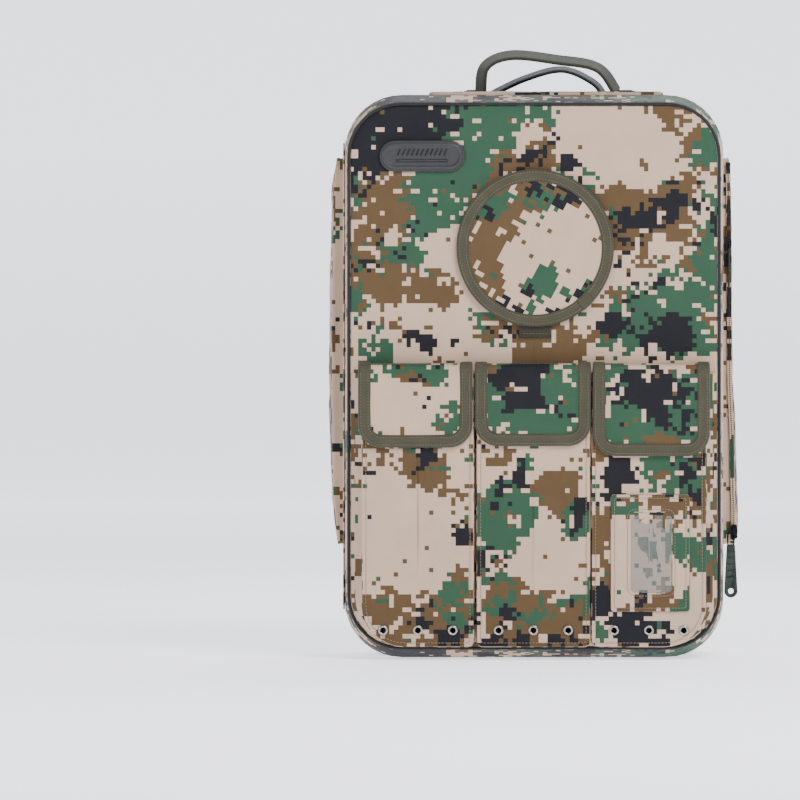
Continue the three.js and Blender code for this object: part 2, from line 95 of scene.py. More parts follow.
class Nodes:
    """A short way to add and link a material's nodes."""

    def __init__(self, name, roughness=0.6, **sockets):
        self.material = bpy.data.materials.new(name)
        self.material.use_nodes = True
        self.tree = self.material.node_tree
        self.shader = self.tree.nodes["Principled BSDF"]
        self.shader.inputs["Roughness"].default_value = roughness
        for socket, value in sockets.items():
            self.shader.inputs[socket.replace("_", " ")].default_value = value

    def add(self, kind, settings=None, **inputs):
        node = self.tree.nodes.new("ShaderNode" + kind)
        for key, value in (settings or {}).items():
            setattr(node, key, value)
        for key, value in inputs.items():
            socket = node.inputs[int(key[1:])] if key[0] == "i" and key[1:].isdigit() else node.inputs[key]
            if isinstance(value, bpy.types.NodeSocket):
                self.tree.links.new(value, socket)
            else:
                socket.default_value = value
        return node

    def math(self, operation, a, b=0.0, clamp=False):
        node = self.add("Math", {"operation": operation, "use_clamp": clamp}, i0=a, i1=b)
        return node.outputs[0]

    def mix(self, factor, a, b, blend="MIX"):
        node = self.add("Mix", {"data_type": "RGBA", "blend_type": blend}, i0=factor, i6=a, i7=b)
        return node.outputs[2]

    def uv(self):
        return self.add("UVMap").outputs[0]

    def place(self):
        return self.add("TexCoord").outputs["Object"]

    def noise(self, vector, scale, detail=2.0, roughness=0.5):
        node = self.add("TexNoise", None, Vector=vector, Scale=scale, Detail=detail, Roughness=roughness)
        return node.outputs[0]

    def spread(self, value, low, high, to_low=0.0, to_high=1.0):
        """The value from low to high, spread over to_low to to_high."""
        return self.add("MapRange", None, i0=value, i1=low, i2=high, i3=to_low, i4=to_high).outputs[0]

    def grey(self, shade):
        return self.add("CombineColor", None, i0=shade, i1=shade, i2=shade).outputs[0]

    def snap(self, vector, *steps):
        return self.add("VectorMath", {"operation": "SNAP"}, i0=vector, i1=steps).outputs[0]

    def speckle(self, vector):
        return self.add("TexWhiteNoise", {"noise_dimensions": "3D"}, Vector=vector).outputs["Value"]

    def link(self, value, socket):
        self.tree.links.new(value, self.shader.inputs[socket])

    def bump(self, height, strength, distance):
        node = self.add("Bump", None, Height=height, Strength=strength, Distance=distance)
        self.link(node.outputs[0], "Normal")

    def weave(self, vector, pitch, across=1.0):
        """A plain weave's height from 0 to 1, its threads pitch metres apart."""
        axes = self.add("SeparateXYZ", None, Vector=vector)
        turn = 2 * math.pi / pitch
        warp = self.math("SINE", self.math("MULTIPLY", axes.outputs[0], turn * across))
        weft = self.math("SINE", self.math("MULTIPLY", axes.outputs[1], turn))
        return self.math("ADD", self.math("MULTIPLY", self.math("MULTIPLY", warp, weft), 0.5), 0.5)

    def wear(self, colour, amount=0.25, scale=30.0):
        """The colour with faint uneven fading and dust."""
        cloud = self.noise(self.place(), scale, 4.0, 0.6)
        shade = self.spread(cloud, 0.3, 0.7, 1 - amount, 1 + amount)
        return self.mix(1.0, colour, self.grey(shade), "MULTIPLY")


CELL = 0.0038  # one square of the print, in metres
TAN = linear(190, 163, 142)
BROWN = linear(88, 68, 44)
GREEN = linear(46, 78, 58)
DARK = linear(25, 25, 30)

# Where the print's larger patches lie, by piece and colour: x, z and radius in millimetres.
# Every cut piece of cloth has its own stretch of the print, a metre along from the last.
CUTS = ["panel", "disc", "flap_left", "flap_middle", "flap_right",
        "pocket_left", "pocket_middle", "pocket_right", "card", "top", "strip", "plain"]
PATCHES = {
    "panel": {
        "dark": [(-140, 455, 34), (-150, 420, 22), (-112, 470, 16), (22, 456, 12), (112, 272, 24),
                 (60, 284, 14), (-104, 268, 16), (-90, 640, 50), (60, 640, 50)],
        "green": [(-66, 448, 34), (-84, 405, 34), (-30, 468, 18), (8, 470, 14), (148, 440, 16),
                  (136, 300, 44), (92, 296, 26), (-140, 262, 18), (155, 345, 20), (-20, 640, 44),
                  (120, 640, 40)],
        "brown": [(-20, 440, 34), (-48, 412, 18), (-132, 390, 30), (-150, 345, 24), (-128, 322, 16),
                  (-84, 322, 22), (118, 464, 16), (66, 392, 20), (92, 372, 36), (126, 392, 26),
                  (10, 270, 28), (-42, 282, 14)],
        "tan": [(84, 438, 40), (40, 455, 24), (-70, 350, 24)],
    },
    "disc": {
        "brown": [(-40, 375, 34), (-38, 326, 20)],
        "green": [(-16, 408, 22), (26, 318, 26), (54, 350, 14)],
        "dark": [(2, 416, 8)],
        "tan": [(30, 375, 30), (-8, 345, 16)],
    },
    "flap_left": {
        "brown": [(-104, 240, 16)],
        "green": [(-74, 208, 16)],
        "tan": [(-118, 215, 26)],
    },
    "flap_middle": {
        "dark": [(-8, 238, 30)],
        "green": [(-30, 212, 24), (22, 222, 32), (0, 200, 22)],
        "brown": [(-42, 246, 12)],
    },
    "flap_right": {
        "green": [(128, 218, 34), (78, 200, 24), (66, 240, 16)],
        "dark": [(88, 228, 28), (116, 236, 16)],
        "brown": [(108, 190, 16)],
    },
    "pocket_left": {
        "brown": [(-96, 170, 26), (-136, 52, 22), (-96, 40, 16)],
        "dark": [(-98, 168, 14), (-62, 104, 9)],
        "tan": [(-110, 110, 40)],
        "green": [(-70, 30, 10)],
    },
    "pocket_middle": {
        "brown": [(-34, 176, 16), (16, 140, 20), (-10, 34, 34), (38, 40, 14)],
        "green": [(-26, 126, 26), (34, 118, 16), (-32, 60, 18)],
        "tan": [(6, 88, 26)],
    },
    "pocket_right": {
        "dark": [(72, 160, 22), (80, 26, 22)],
        "green": [(110, 158, 28), (140, 90, 16)],
        "brown": [(136, 140, 18), (58, 112, 20)],
        "tan": [(128, 50, 26)],
    },
    "card": {
        "brown": [(122, 54, 20), (94, 46, 10), (118, 136, 20), (78, 134, 12)],
        "tan": [(76, 92, 30)],
        "dark": [(96, 84, 14)],
    },
    "strip": {
        "dark": [(172, 420, 40), (172, 350, 44), (172, 285, 40)],
        "tan": [(172, 220, 40), (172, 130, 22)],
        "green": [(172, 172, 24)],
    },
    "plain": {
        "dark": [(-90, 700, 60), (80, 700, 60)],
        "green": [(0, 690, 60)],
    },
    "top": {
        "dark": [(-60, 700, 40), (80, 700, 36)],
        "green": [(10, 700, 40)],
    },
}
STRENGTH = {"tan": -0.24, "brown": 0.2, "green": 0.2, "dark": 0.2}


def cut_shift(cut):
    """How far along the print a cut piece lies, in metres."""
    return float(CUTS.index(cut))


def camo_group():
    """The square-celled print as a node group: a print position in, a colour out."""
    group = bpy.data.node_groups.new("camo_print", "ShaderNodeTree")
    group.interface.new_socket("Position", in_out="INPUT", socket_type="NodeSocketVector")
    group.interface.new_socket("Colour", in_out="OUTPUT", socket_type="NodeSocketColor")
    n = Nodes.__new__(Nodes)
    n.tree = group
    start = group.nodes.new("NodeGroupInput")
    end = group.nodes.new("NodeGroupOutput")
    cell = n.snap(start.outputs[0], CELL, CELL, CELL)
    wide = n.snap(start.outputs[0], 2 * CELL, CELL, CELL)
    tall = n.snap(start.outputs[0], CELL, 3 * CELL, CELL)

    def patches(colour):
        total = 0.0
        placed = [(cut, name, patch) for cut, by_colour in PATCHES.items()
                  for name in (colour, "tan") for patch in by_colour.get(name, [])]
        for cut, name, (x, z, radius) in placed:
            centre = (x * MM + cut_shift(cut), z * MM, 0)
            far = n.add("VectorMath", {"operation": "DISTANCE"}, i0=cell, i1=centre).outputs["Value"]
            near = n.add(
                "MapRange", {"interpolation_type": "SMOOTHSTEP"},
                i0=far, i1=radius * MM * 0.55, i2=radius * MM * 1.35, i3=STRENGTH[name], i4=0.0,
            ).outputs[0]
            total = n.math("ADD", total, near)
        return total

    def layer(colour, offset, threshold, scale):
        moved = n.add("VectorMath", {"operation": "ADD"}, i0=cell, i1=offset).outputs[0]
        broad = n.noise(moved, scale, 2.0, 0.5)
        ragged = n.math("MULTIPLY", n.math("SUBTRACT", n.noise(moved, 75.0, 1.0, 0.5), 0.5), 0.45)
        dots = n.math("MULTIPLY", n.math("SUBTRACT", n.speckle(moved), 0.5), 0.13)
        ragged = n.math("ADD", ragged, dots)
        return n.math("GREATER_THAN", n.math("ADD", n.math("ADD", broad, ragged), patches(colour)), threshold)

    def specks(vector, share):
        return n.math("LESS_THAN", n.speckle(vector), share)

    colour = n.mix(layer("brown", (0.31, 5.2, 0.7), 0.585, 22.0), TAN, BROWN)
    colour = n.mix(layer("green", (2.17, 1.4, 3.1), 0.6, 19.0), colour, GREEN)
    colour = n.mix(layer("dark", (4.4, 3.3, 5.9), 0.635, 24.0), colour, DARK)
    near_edge = n.math("GREATER_THAN", n.noise(cell, 34.0, 2.0, 0.6), 0.5)
    colour = n.mix(n.math("MULTIPLY", specks(wide, 0.1), near_edge), colour, TAN)
    colour = n.mix(n.math("MULTIPLY", specks(tall, 0.05), near_edge), colour, TAN)
    colour = n.mix(specks(cell, 0.012), colour, BROWN)
    group.links.new(colour, end.inputs[0])
    return group


def scaled(colour, share):
    return tuple(c * share for c in colour[:3]) + (1,)


def camo_material(group, name, sheen=0.04, roughness=0.6):
    """Printed cloth: the print along its UVs, with a fine weave and a slight crumple."""
    n = Nodes(name, roughness, Sheen_Weight=sheen, Sheen_Roughness=0.4, Specular_IOR_Level=0.16)
    pattern = n.tree.nodes.new("ShaderNodeGroup")
    pattern.node_tree = group
    uv = n.uv()
    n.tree.links.new(uv, pattern.inputs[0])
    threads = n.weave(uv, 0.0009)
    # The weave's height also tints the print: darker between the threads as painted shade, lighter on their
    # tops as a painted highlight.
    grey = n.grey(n.spread(threads, 0.0, 1.0, 0.93, 1.05))
    n.link(n.wear(n.mix(1.0, pattern.outputs[0], grey, "MULTIPLY"), 0.05, 24.0), "Base Color")
    crumple = n.noise(n.place(), 60.0, 3.0, 0.55)
    height = n.math("ADD", n.math("MULTIPLY", threads, 0.25), n.math("MULTIPLY", crumple, 1.2))
    n.bump(height, 0.5, 0.0008)
    n.link(n.spread(crumple, 0.3, 0.7, roughness - 0.06, roughness + 0.1), "Roughness")
    return n.material


def cloth_material(name, colour, pitch, across=1.0, roughness=0.8, sheen=0.3, depth=0.0004, wear=0.12):
    """Woven cloth or webbing: threads along its UV directions."""
    n = Nodes(name, roughness, Sheen_Weight=sheen * 0.3, Sheen_Roughness=0.5, Specular_IOR_Level=0.3)
    threads = n.weave(n.uv(), pitch, across)
    # The colour runs from darker between the threads to lighter on their tops: painted shade and painted
    # highlight that follow the weave's height.
    n.link(n.wear(n.mix(threads, scaled(colour, 0.68), scaled(colour, 1.25)), wear, 60.0), "Base Color")
    fuzz = n.noise(n.place(), 900.0, 2.0)
    n.bump(n.math("ADD", threads, n.math("MULTIPLY", fuzz, 0.4)), 0.7, depth)
    return n.material


def mesh_material(name, colour):
    """Open spacer mesh: round holes in rows, painted darker in their middles as painted shade."""
    n = Nodes(name, 0.9, Sheen_Weight=0.25, Sheen_Roughness=0.6)
    holes = n.add("TexVoronoi", {"feature": "F1"}, Vector=n.place(), Scale=420.0, Randomness=0.15)
    ring = n.spread(holes.outputs["Distance"], 0.2, 0.55)
    n.link(n.wear(n.mix(ring, scaled(colour, 0.35), colour), 0.15, 40.0), "Base Color")
    n.bump(ring, 0.8, 0.0007)
    return n.material


def moulded_material(name, colour, roughness=0.5, grain=900.0, depth=0.00015, **sockets):
    """Moulded rubber or plastic with a fine grain and scuffed lighter marks."""
    n = Nodes(name, roughness, **sockets)
    grains = n.noise(n.place(), grain, 3.0)
    scuff = n.noise(n.place(), 140.0, 5.0, 0.7)
    worn = n.spread(scuff, 0.58, 0.72, 0.0, 0.5)
    n.link(n.mix(worn, colour, tuple(min(1, c * 2 + 0.01) for c in colour[:3]) + (1,)), "Base Color")
    n.link(n.spread(scuff, 0.35, 0.7, roughness - 0.08, roughness + 0.12), "Roughness")
    n.bump(grains, 0.5, depth)
    return n.material


def metal_material(name, colour, roughness=0.28):
    """Plated or painted metal with fine marks."""
    n = Nodes(name, roughness, Metallic=1.0)
    marks = n.noise(n.place(), 1400.0, 4.0, 0.7)
    n.link(n.mix(n.noise(n.place(), 500.0, 3.0), colour, scaled(colour, 0.6)), "Base Color")
    n.link(n.spread(marks, 0.3, 0.7, roughness - 0.08, roughness + 0.2), "Roughness")
    n.bump(marks, 0.25, 0.0001)
    return n.material


def film_material():
    """Clear plastic film, cloudy and half see-through."""
    n = Nodes("clear_film", 0.2, Alpha=0.42, Coat_Weight=0.25)
    cloud = n.noise(n.place(), 120.0, 3.0)
    n.link(n.mix(cloud, linear(150, 150, 145), linear(118, 122, 120)), "Base Color")
    n.bump(n.noise(n.place(), 70.0, 2.0), 0.3, 0.0006)
    return n.material


PRINT = camo_group()
CAMO = camo_material(PRINT, "camo_cloth")
OLIVE = cloth_material("olive_webbing", linear(45, 45, 32), 0.0016, 0.5, 0.75, 0.35, 0.0006)
BINDING = cloth_material("olive_binding", linear(64, 62, 46), 0.0011, 0.4, 0.7, 0.3, 0.0004)
BLACK_CLOTH = cloth_material("black_cloth", linear(34, 34, 36), 0.0012, 1.0, 0.7, 0.3)
LINING = cloth_material("lining", linear(74, 76, 74), 0.0008, 1.0, 0.6, 0.2, 0.0003)
THREAD = cloth_material("thread", linear(100, 92, 72), 0.0006, 2.0, 0.6, 0.3, 0.0002)
TAN_THREAD = cloth_material("tan_thread", linear(150, 134, 112), 0.0006, 2.0, 0.6, 0.3, 0.0002)
BLACK_THREAD = cloth_material("black_thread", linear(26, 26, 28), 0.0006, 2.0, 0.6, 0.3, 0.0002)
COIL = moulded_material("zip_coil", linear(22, 22, 24), 0.35, 1500.0, 0.00005)
SPACER = mesh_material("spacer_mesh", linear(44, 44, 47))
RUBBER = moulded_material("badge_rubber", linear(40, 40, 43), 0.55, 1200.0, 0.0001)
PLASTIC = moulded_material("buckle_plastic", linear(26, 26, 28), 0.42)
GRIP = moulded_material("pull_grip", linear(18, 36, 26), 0.5)
NICKEL = metal_material("eyelet_nickel", linear(188, 186, 180))
BLACK_METAL = metal_material("slider_metal", linear(40, 41, 43), 0.4)
FILM = film_material()
FIELD = cloth_material("field_cloth", linear(206, 204, 196), 0.0009, 1.0, 0.8, 0.3)


# ---- meshes ----

def piece(name, points, faces, material, body, uvs=None, smooth=True):
    """A mesh piece, from points in millimetres, that rides on a body."""
    mesh = bpy.data.meshes.new(name)
    mesh.from_pydata([tuple(c * MM for c in p) for p in points], [], faces)
    obj = bpy.data.objects.new(name, mesh)
    bpy.context.scene.collection.objects.link(obj)
    for one in material if isinstance(material, list) else [material]:
        mesh.materials.append(one)
    if uvs:
        layer = mesh.uv_layers.new(name="UVMap")
        flat = [c * MM for corner in uvs for uv in corner for c in uv]
        layer.data.foreach_set("uv", flat)
    mesh.polygons.foreach_set("use_smooth", [smooth] * len(mesh.polygons))
    mesh.update()
    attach(obj, body)
    return obj


class Skin:
    """A surface being drawn: its points, faces and print positions."""

    def __init__(self):
        self.points, self.faces, self.uvs = [], [], []

    def loops(self, loops, closed=True, cap_start=False, cap_end=False, ring=False):
        """Joins loops of equally many points by rows of four-sided faces."""
        base, n = len(self.points), len(loops[0])
        for loop in loops:
            self.points += [tuple(p) for p in loop]
        around = [0.0]
        first = loops[len(loops) // 2]
        for k in range(n):
            around.append(around[-1] + (Vector(first[(k + 1) % n]) - Vector(first[k])).length)
        along = [0.0]
        rows = len(loops) if ring else len(loops) - 1
        for row in range(rows):
            step = Vector(loops[(row + 1) % len(loops)][0]) - Vector(loops[row][0])
            along.append(along[-1] + step.length)
        for row in range(rows):
            here, there = base + row * n, base + (row + 1) % len(loops) * n
            for k in range(n if closed else n - 1):
                k1 = (k + 1) % n
                self.faces.append((here + k, here + k1, there + k1, there + k))
                self.uvs.append([(around[k], along[row]), (around[k + 1], along[row]),
                                 (around[k + 1], along[row + 1]), (around[k], along[row + 1])])
        for use, row in ((cap_start, 0), (cap_end, len(loops) - 1)):
            if use:
                ids = [base + row * n + k for k in range(n)]
                self.faces.append(tuple(ids[::-1] if row == 0 else ids))
                self.uvs.append([(around[k], along[0]) for k in range(n)])
        return self

    def add(self, other):
        shift = len(self.points)
        self.points += other.points
        self.faces += [tuple(i + shift for i in face) for face in other.faces]
        self.uvs += other.uvs
        return self

    def drop(self, test):
        """Leaves out the faces whose middle passes the test."""
        kept = [i for i, face in enumerate(self.faces) if not test(self.middle(face))]
        self.faces = [self.faces[i] for i in kept]
        self.uvs = [self.uvs[i] for i in kept]
        return self

    def middle(self, face):
        return sum((Vector(self.points[i]) for i in face), Vector()) / len(face)

    def project(self, cut="plain", turn=0.0, about=(0, 0), front_only=False):
        """Print positions straight from the front, or from the side or top where a face looks that way."""
        shift = cut_shift(cut) / MM
        c, s = math.cos(turn), math.sin(turn)
        for i, face in enumerate(self.faces):
            a, b, d = (Vector(self.points[face[k]]) for k in (0, 1, 2))
            normal = (b - a).cross(d - a)
            sideways = 1 if front_only else max(range(3), key=lambda axis: abs(normal[axis]))
            corners = []
            for k in face:
                x, y, z = self.points[k]
                if sideways == 1:
                    u, v = x - about[0], z - about[1]
                    u, v = c * u - s * v + about[0], s * u + c * v + about[1]
                elif sideways == 0:
                    u, v = y + math.copysign(400, x), z
                else:
                    u, v = x, y + math.copysign(700, z)
                corners.append((u + shift, v))
            self.uvs[i] = corners
        return self

    def make(self, name, material, body, slot=None, smooth=True):
        return piece(name, self.points, self.faces, material, body, self.uvs, smooth)


def outline(x0, x1, z0, z1, radii, arc=7, edges=(24, 36)):
    """Points round a box with rounded corners, equally many whatever its size."""
    r = radii if isinstance(radii, (list, tuple)) else [radii] * 4
    centres = [(x0 + r[0], z0 + r[0]), (x1 - r[1], z0 + r[1]), (x1 - r[2], z1 - r[2]), (x0 + r[3], z1 - r[3])]
    arcs = []
    for i, (cx, cz) in enumerate(centres):
        turns = [math.pi + (i + k / arc) * math.pi / 2 for k in range(arc + 1)]
        arcs.append([(cx + r[i] * math.cos(t), cz + r[i] * math.sin(t)) for t in turns])
    points = []
    for i, part in enumerate(arcs):
        following = arcs[(i + 1) % 4][0]
        count = edges[i % 2]
        points += part
        for k in range(1, count + 1):
            t = k / (count + 1)
            points.append(tuple(a + (b - a) * t for a, b in zip(part[-1], following)))
    return points


def inset_outline(bounds, radii, inset, **counts):
    x0, x1, z0, z1 = bounds
    r = radii if isinstance(radii, (list, tuple)) else [radii] * 4
    return outline(x0 + inset, x1 - inset, z0 + inset, z1 - inset, [max(v - inset, 0.5) for v in r], **counts)


def insets(bounds, step, start=0.0):
    """How far in each loop lies, from the edge to just short of the middle line."""
    x0, x1, z0, z1 = bounds
    deepest = min(x1 - x0, z1 - z0) / 2 - 0.6
    count = max(2, math.ceil((deepest - start) / step))
    return [start + (deepest - start) * k / count for k in range(count + 1)]


def wobble(x, y, z, size, height):
    """Smooth unevenness: size is how far apart its bumps lie."""
    return height * noise.noise(Vector((x / size, y / size, z / size)))


def sweep(path, section, up, closed=False, caps=True):
    """Carries a section along a path. up is one direction or one for each point."""
    skin, loops = Skin(), []
    count = len(path)
    for i, point in enumerate(path):
        before = path[i - 1] if closed or i else path[i]
        after = path[(i + 1) % count] if closed or i + 1 < count else path[i]
        along = (after - before).normalized()
        top = up[i] if isinstance(up, list) else up
        side = along.cross(top).normalized()
        out = side.cross(along)
        loops.append([point + side * a + out * b for a, b in section])
    return skin.loops(loops, ring=closed, cap_start=caps and not closed, cap_end=caps and not closed)


def tangents(path):
    """Which way an open path runs at each of its points."""
    last = len(path) - 1
    return [(path[min(i + 1, last)] - path[max(i - 1, 0)]).normalized() for i in range(last + 1)]


def straight(start, end, steps):
    """Evenly spaced points from start to end."""
    start, end = Vector(start), Vector(end)
    return [start + (end - start) * k / steps for k in range(steps + 1)]


def round_section(radius, sides=8):
    return [(radius * math.cos(2 * math.pi * k / sides), radius * math.sin(2 * math.pi * k / sides))
            for k in range(sides)]


def flat_section(width, thick):
    """A webbing's section with soft edges, drawn the same way round as round_section."""
    w, t = width / 2, thick / 2
    half = [(w, 0), (w - 0.4 * t, 0.8 * t), (w - 1.4 * t, t), (w / 2, t * 0.94), (0, t * 0.98),
            (-w / 2, t * 0.94), (1.4 * t - w, t), (0.4 * t - w, 0.8 * t), (-w, 0)]
    return half + [(a, -b) for a, b in half[-2:0:-1]]


def smooth_path(points, steps=8):
    """A Catmull-Rom curve through the points."""
    points = [Vector(p) for p in points]
    ends = [2 * points[0] - points[1]] + points + [2 * points[-1] - points[-2]]
    path = []
    for i in range(1, len(ends) - 2):
        a, b, c, d = ends[i - 1:i + 3]
        for k in range(steps):
            t = k / steps
            path.append(0.5 * (2 * b + (c - a) * t + (2 * a - 5 * b + 4 * c - d) * t ** 2
                               + (3 * b - a - 3 * c + d) * t ** 3))
    return path + [points[-1]]


def even_path(path, step, closed=False):
    """The path's points again, evenly spaced about step apart."""
    points = path + [path[0]] if closed else path
    lengths = [0.0]
    for a, b in zip(points, points[1:]):
        lengths.append(lengths[-1] + (b - a).length)
    count = max(2, round(lengths[-1] / step))
    result, k = [], 0
    for i in range(count + (0 if closed else 1)):
        want = lengths[-1] * i / count
        while k < len(lengths) - 2 and lengths[k + 1] < want:
            k += 1
        span = lengths[k + 1] - lengths[k] or 1
        result.append(points[k].lerp(points[k + 1], (want - lengths[k]) / span))
    return result


def stitches(name, path, up, body, material=None, pitch=3.0, closed=False, thick=0.5, slot=None):
    """A row of thread stitches along a path, each a small rounded bar."""
    skin = Skin()
    along_path = even_path([Vector(p) for p in path], pitch, closed)
    count = len(along_path)
    for i in range(count if closed else count - 1):
        a, b = along_path[i], along_path[(i + 1) % count]
        top = up(a) if callable(up) else up
        gap = (b - a) * 0.12
        middle = (a + b) / 2 + top * thick * 0.5
        ends = [a + gap, middle.lerp(a, 0.4), middle.lerp(b, 0.4), b - gap]
        along = (b - a).normalized()
        side = along.cross(top).normalized()
        loops = []
        for k, point in enumerate(ends):
            size = thick * (0.3 if k in (0, 3) else 0.5)
            loops.append([point + side * size * math.cos(t) + top * size * math.sin(t)
                          for t in (0, 1.05, 2.09, math.pi, 4.19, 5.24)])
        skin.loops(loops, cap_start=True, cap_end=True)
    return skin.make(name, material or THREAD, body, slot)


def thicken(obj, thick, inner=None):
    """Gives a single sheet its thickness, inwards, with another material on the inside."""
    modifier = obj.modifiers.new("thickness", "SOLIDIFY")
    modifier.thickness = thick * MM
    modifier.offset = -1
    modifier.use_quality_normals = True
    if inner:
        obj.data.materials.append(inner)
        modifier.material_offset = 1
    return settle(obj)


def settle(obj):
    """Applies the piece's modifiers."""
    graph = bpy.context.evaluated_depsgraph_get()
    bpy.context.view_layer.update()
    mesh = bpy.data.meshes.new_from_object(obj.evaluated_get(graph))
    obj.modifiers.clear()
    old = obj.data
    obj.data = mesh
    bpy.data.meshes.remove(old)
    return obj


def drill(obj, place, radius, depth, axis, sides):
    """Cuts a round hole through the piece at a place, along X (0) or Y (1)."""
    rotation = (math.pi / 2, 0, 0) if axis == 1 else (0, math.pi / 2, 0)
    bpy.ops.mesh.primitive_cylinder_add(vertices=sides, radius=radius * MM, depth=depth * MM,
                                        location=Vector(place) * MM, rotation=rotation)
    cutter = bpy.context.object
    modifier = obj.modifiers.new("hole", "BOOLEAN")
    modifier.operation = "DIFFERENCE"
    modifier.solver = "EXACT"
    modifier.object = cutter
    settle(obj)
    bpy.data.objects.remove(cutter)


def unparent(obj):
    """Takes a piece off its body and drops its body mark."""
    obj.parent = None
    obj.pop("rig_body", None)


def puff(obj, pressure=4.0, cap=6.0, voxel=5.0, frames=20):
    """Blows the piece up as stuffed cloth, then keeps each point within cap millimetres of where it was."""
    remesh = obj.modifiers.new("remesh", "REMESH")
    remesh.mode = "VOXEL"
    remesh.voxel_size = voxel * MM
    settle(obj)
    before = [v.co.copy() for v in obj.data.vertices]
    cloth = obj.modifiers.new("cloth", "CLOTH")
    cloth.settings.use_pressure = True
    cloth.settings.uniform_pressure_force = pressure
    cloth.settings.effector_weights.gravity = 0
    cloth.settings.quality = 4
    cloth.settings.mass = 0.3
    cloth.settings.tension_stiffness = 12
    cloth.point_cache.frame_end = frames
    for step in range(1, frames + 1):
        bpy.context.scene.frame_set(step)
    settle(obj)
    for vertex, start in zip(obj.data.vertices, before):
        moved = vertex.co - start
        if moved.length > cap * MM:
            vertex.co = start + moved.normalized() * cap * MM
    bpy.context.scene.frame_set(1)
    rounder = obj.modifiers.new("rounder", "SUBSURF")
    rounder.levels = 1
    rounder.render_levels = 1
    settle(obj)
    obj.data.polygons.foreach_set("use_smooth", [True] * len(obj.data.polygons))
    return obj


# ---- shells and the main zip ----

FINE = dict(arc=9, edges=(44, 64))
REAR_X, REAR_Y, REAR_Z = box("rear_shell")
LID_X, LID_Y, LID_Z = box("lid_shell")
PIPE_X, PIPE_Y, PIPE_Z = box("front_piping")
CORNER = 50
SEAT_CORNER = 46
WALL = 5
BODY = (*REAR_X, *REAR_Z)
SEAT = (PIPE_X[0] + 1, PIPE_X[1] - 1, *PIPE_Z)
PANEL = (SEAT[0] + 2.4, SEAT[1] - 2.4, SEAT[2] + 3.4, SEAT[3] - 3.4)
ZIP_Y = (LID_Y[1] + REAR_Y[0]) / 2
FACE_Y = LID_Y[0]


def at_depth(points, y):
    """Flat front-view points, set at a depth."""
    return [Vector((a, y, b)) for a, b in points]


def shaken(loop, amount, size=38.0, normal_axis=None, seed=0.0):
    """The loop's points, moved in and out of the wall a little, as cloth lies."""
    middle_x, middle_z = (BODY[0] + BODY[1]) / 2, (BODY[2] + BODY[3]) / 2
    moved = []
    for p in loop:
        bump = wobble(p.x + seed, p.y * 1.6, p.z, size, amount)
        if normal_axis == "y":
            moved.append(p + Vector((0, bump, 0)))
        else:
            flat = Vector((p.x - middle_x, 0, p.z - middle_z))
            direction = Vector((flat.x, 0, 0)) if abs(flat.x) > abs(flat.z) * 0.62 else Vector((0, 0, flat.z))
            moved.append(p + direction.normalized() * bump)
    return moved


def face_fill(bounds, radii, y, start, step, amount, crown=0.0, seed=0.0, size=46.0, counts=FINE):
    """Loops that close a flat face from its edge to the middle, with slight unevenness."""
    loops = []
    span = min(bounds[1] - bounds[0], bounds[3] - bounds[2]) / 2
    for inset in insets(bounds, step, start):
        rise = crown * (1 - (1 - inset / span) ** 2)
        loop = at_depth(inset_outline(bounds, radii, inset, **counts), y + rise)
        loops.append(shaken(loop, amount * min(1, inset / 12), size, "y", seed))
    return loops


def two_layers(outer, inner, name, body, slot, cut="plain", inner_material=None):
    """A cloth shell: its outside in the print, its inside in lining, joined along the open edge."""
    skin = Skin().loops(outer, cap_end=True)
    count = len(skin.faces)
    skin.project(cut)
    inside = Skin().loops([outer[0]] + inner, cap_end=True)
    inside.faces = [face[::-1] for face in inside.faces]
    inside.uvs = [uv[::-1] for uv in inside.uvs]
    skin.add(inside)
    obj = skin.make(name, [CAMO, inner_material or LINING], body, slot)
    obj.data.polygons.foreach_set("material_index", [0] * count + [1] * (len(skin.faces) - count))
    return obj


def rear_cloth():
    """The rear shell, from the zip round to the middle of the back."""
    edge, back = REAR_Y
    outer = []
    for k in range(17):
        y = edge + (back - 6 - edge) * k / 16
        amount = 1.1 * math.sin(math.pi * k / 16)
        outer.append(shaken(at_depth(inset_outline(BODY, CORNER, 0.4, **FINE), y), amount))
    for turn in (0.35, 0.7, 1.05, 1.4):
        inset = 0.4 + 5 * (1 - math.cos(turn))
        outer.append(at_depth(inset_outline(BODY, CORNER, inset, **FINE), back - 6 + 5.6 * math.sin(turn)))
    outer += face_fill(BODY, CORNER, back - 0.4, 6.5, 9, 0.5)
    inner = [at_depth(inset_outline(BODY, CORNER, WALL, **FINE), y) for y in (edge + 0.6, 0, 30, back - 9)]
    inner += face_fill(BODY, CORNER, back - 7, WALL + 3, 14, 0.2)
    outer, inner = [p[::-1] for p in outer], [p[::-1] for p in inner]
    obj = two_layers(outer, inner, "rear_shell_cloth", "pack", "camo_fabric")
    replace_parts(obj, "rear_shell")


def between(a, b, t):
    """The box t of the way from box a to box b."""
    return tuple(p + (q - p) * t for p, q in zip(a, b))


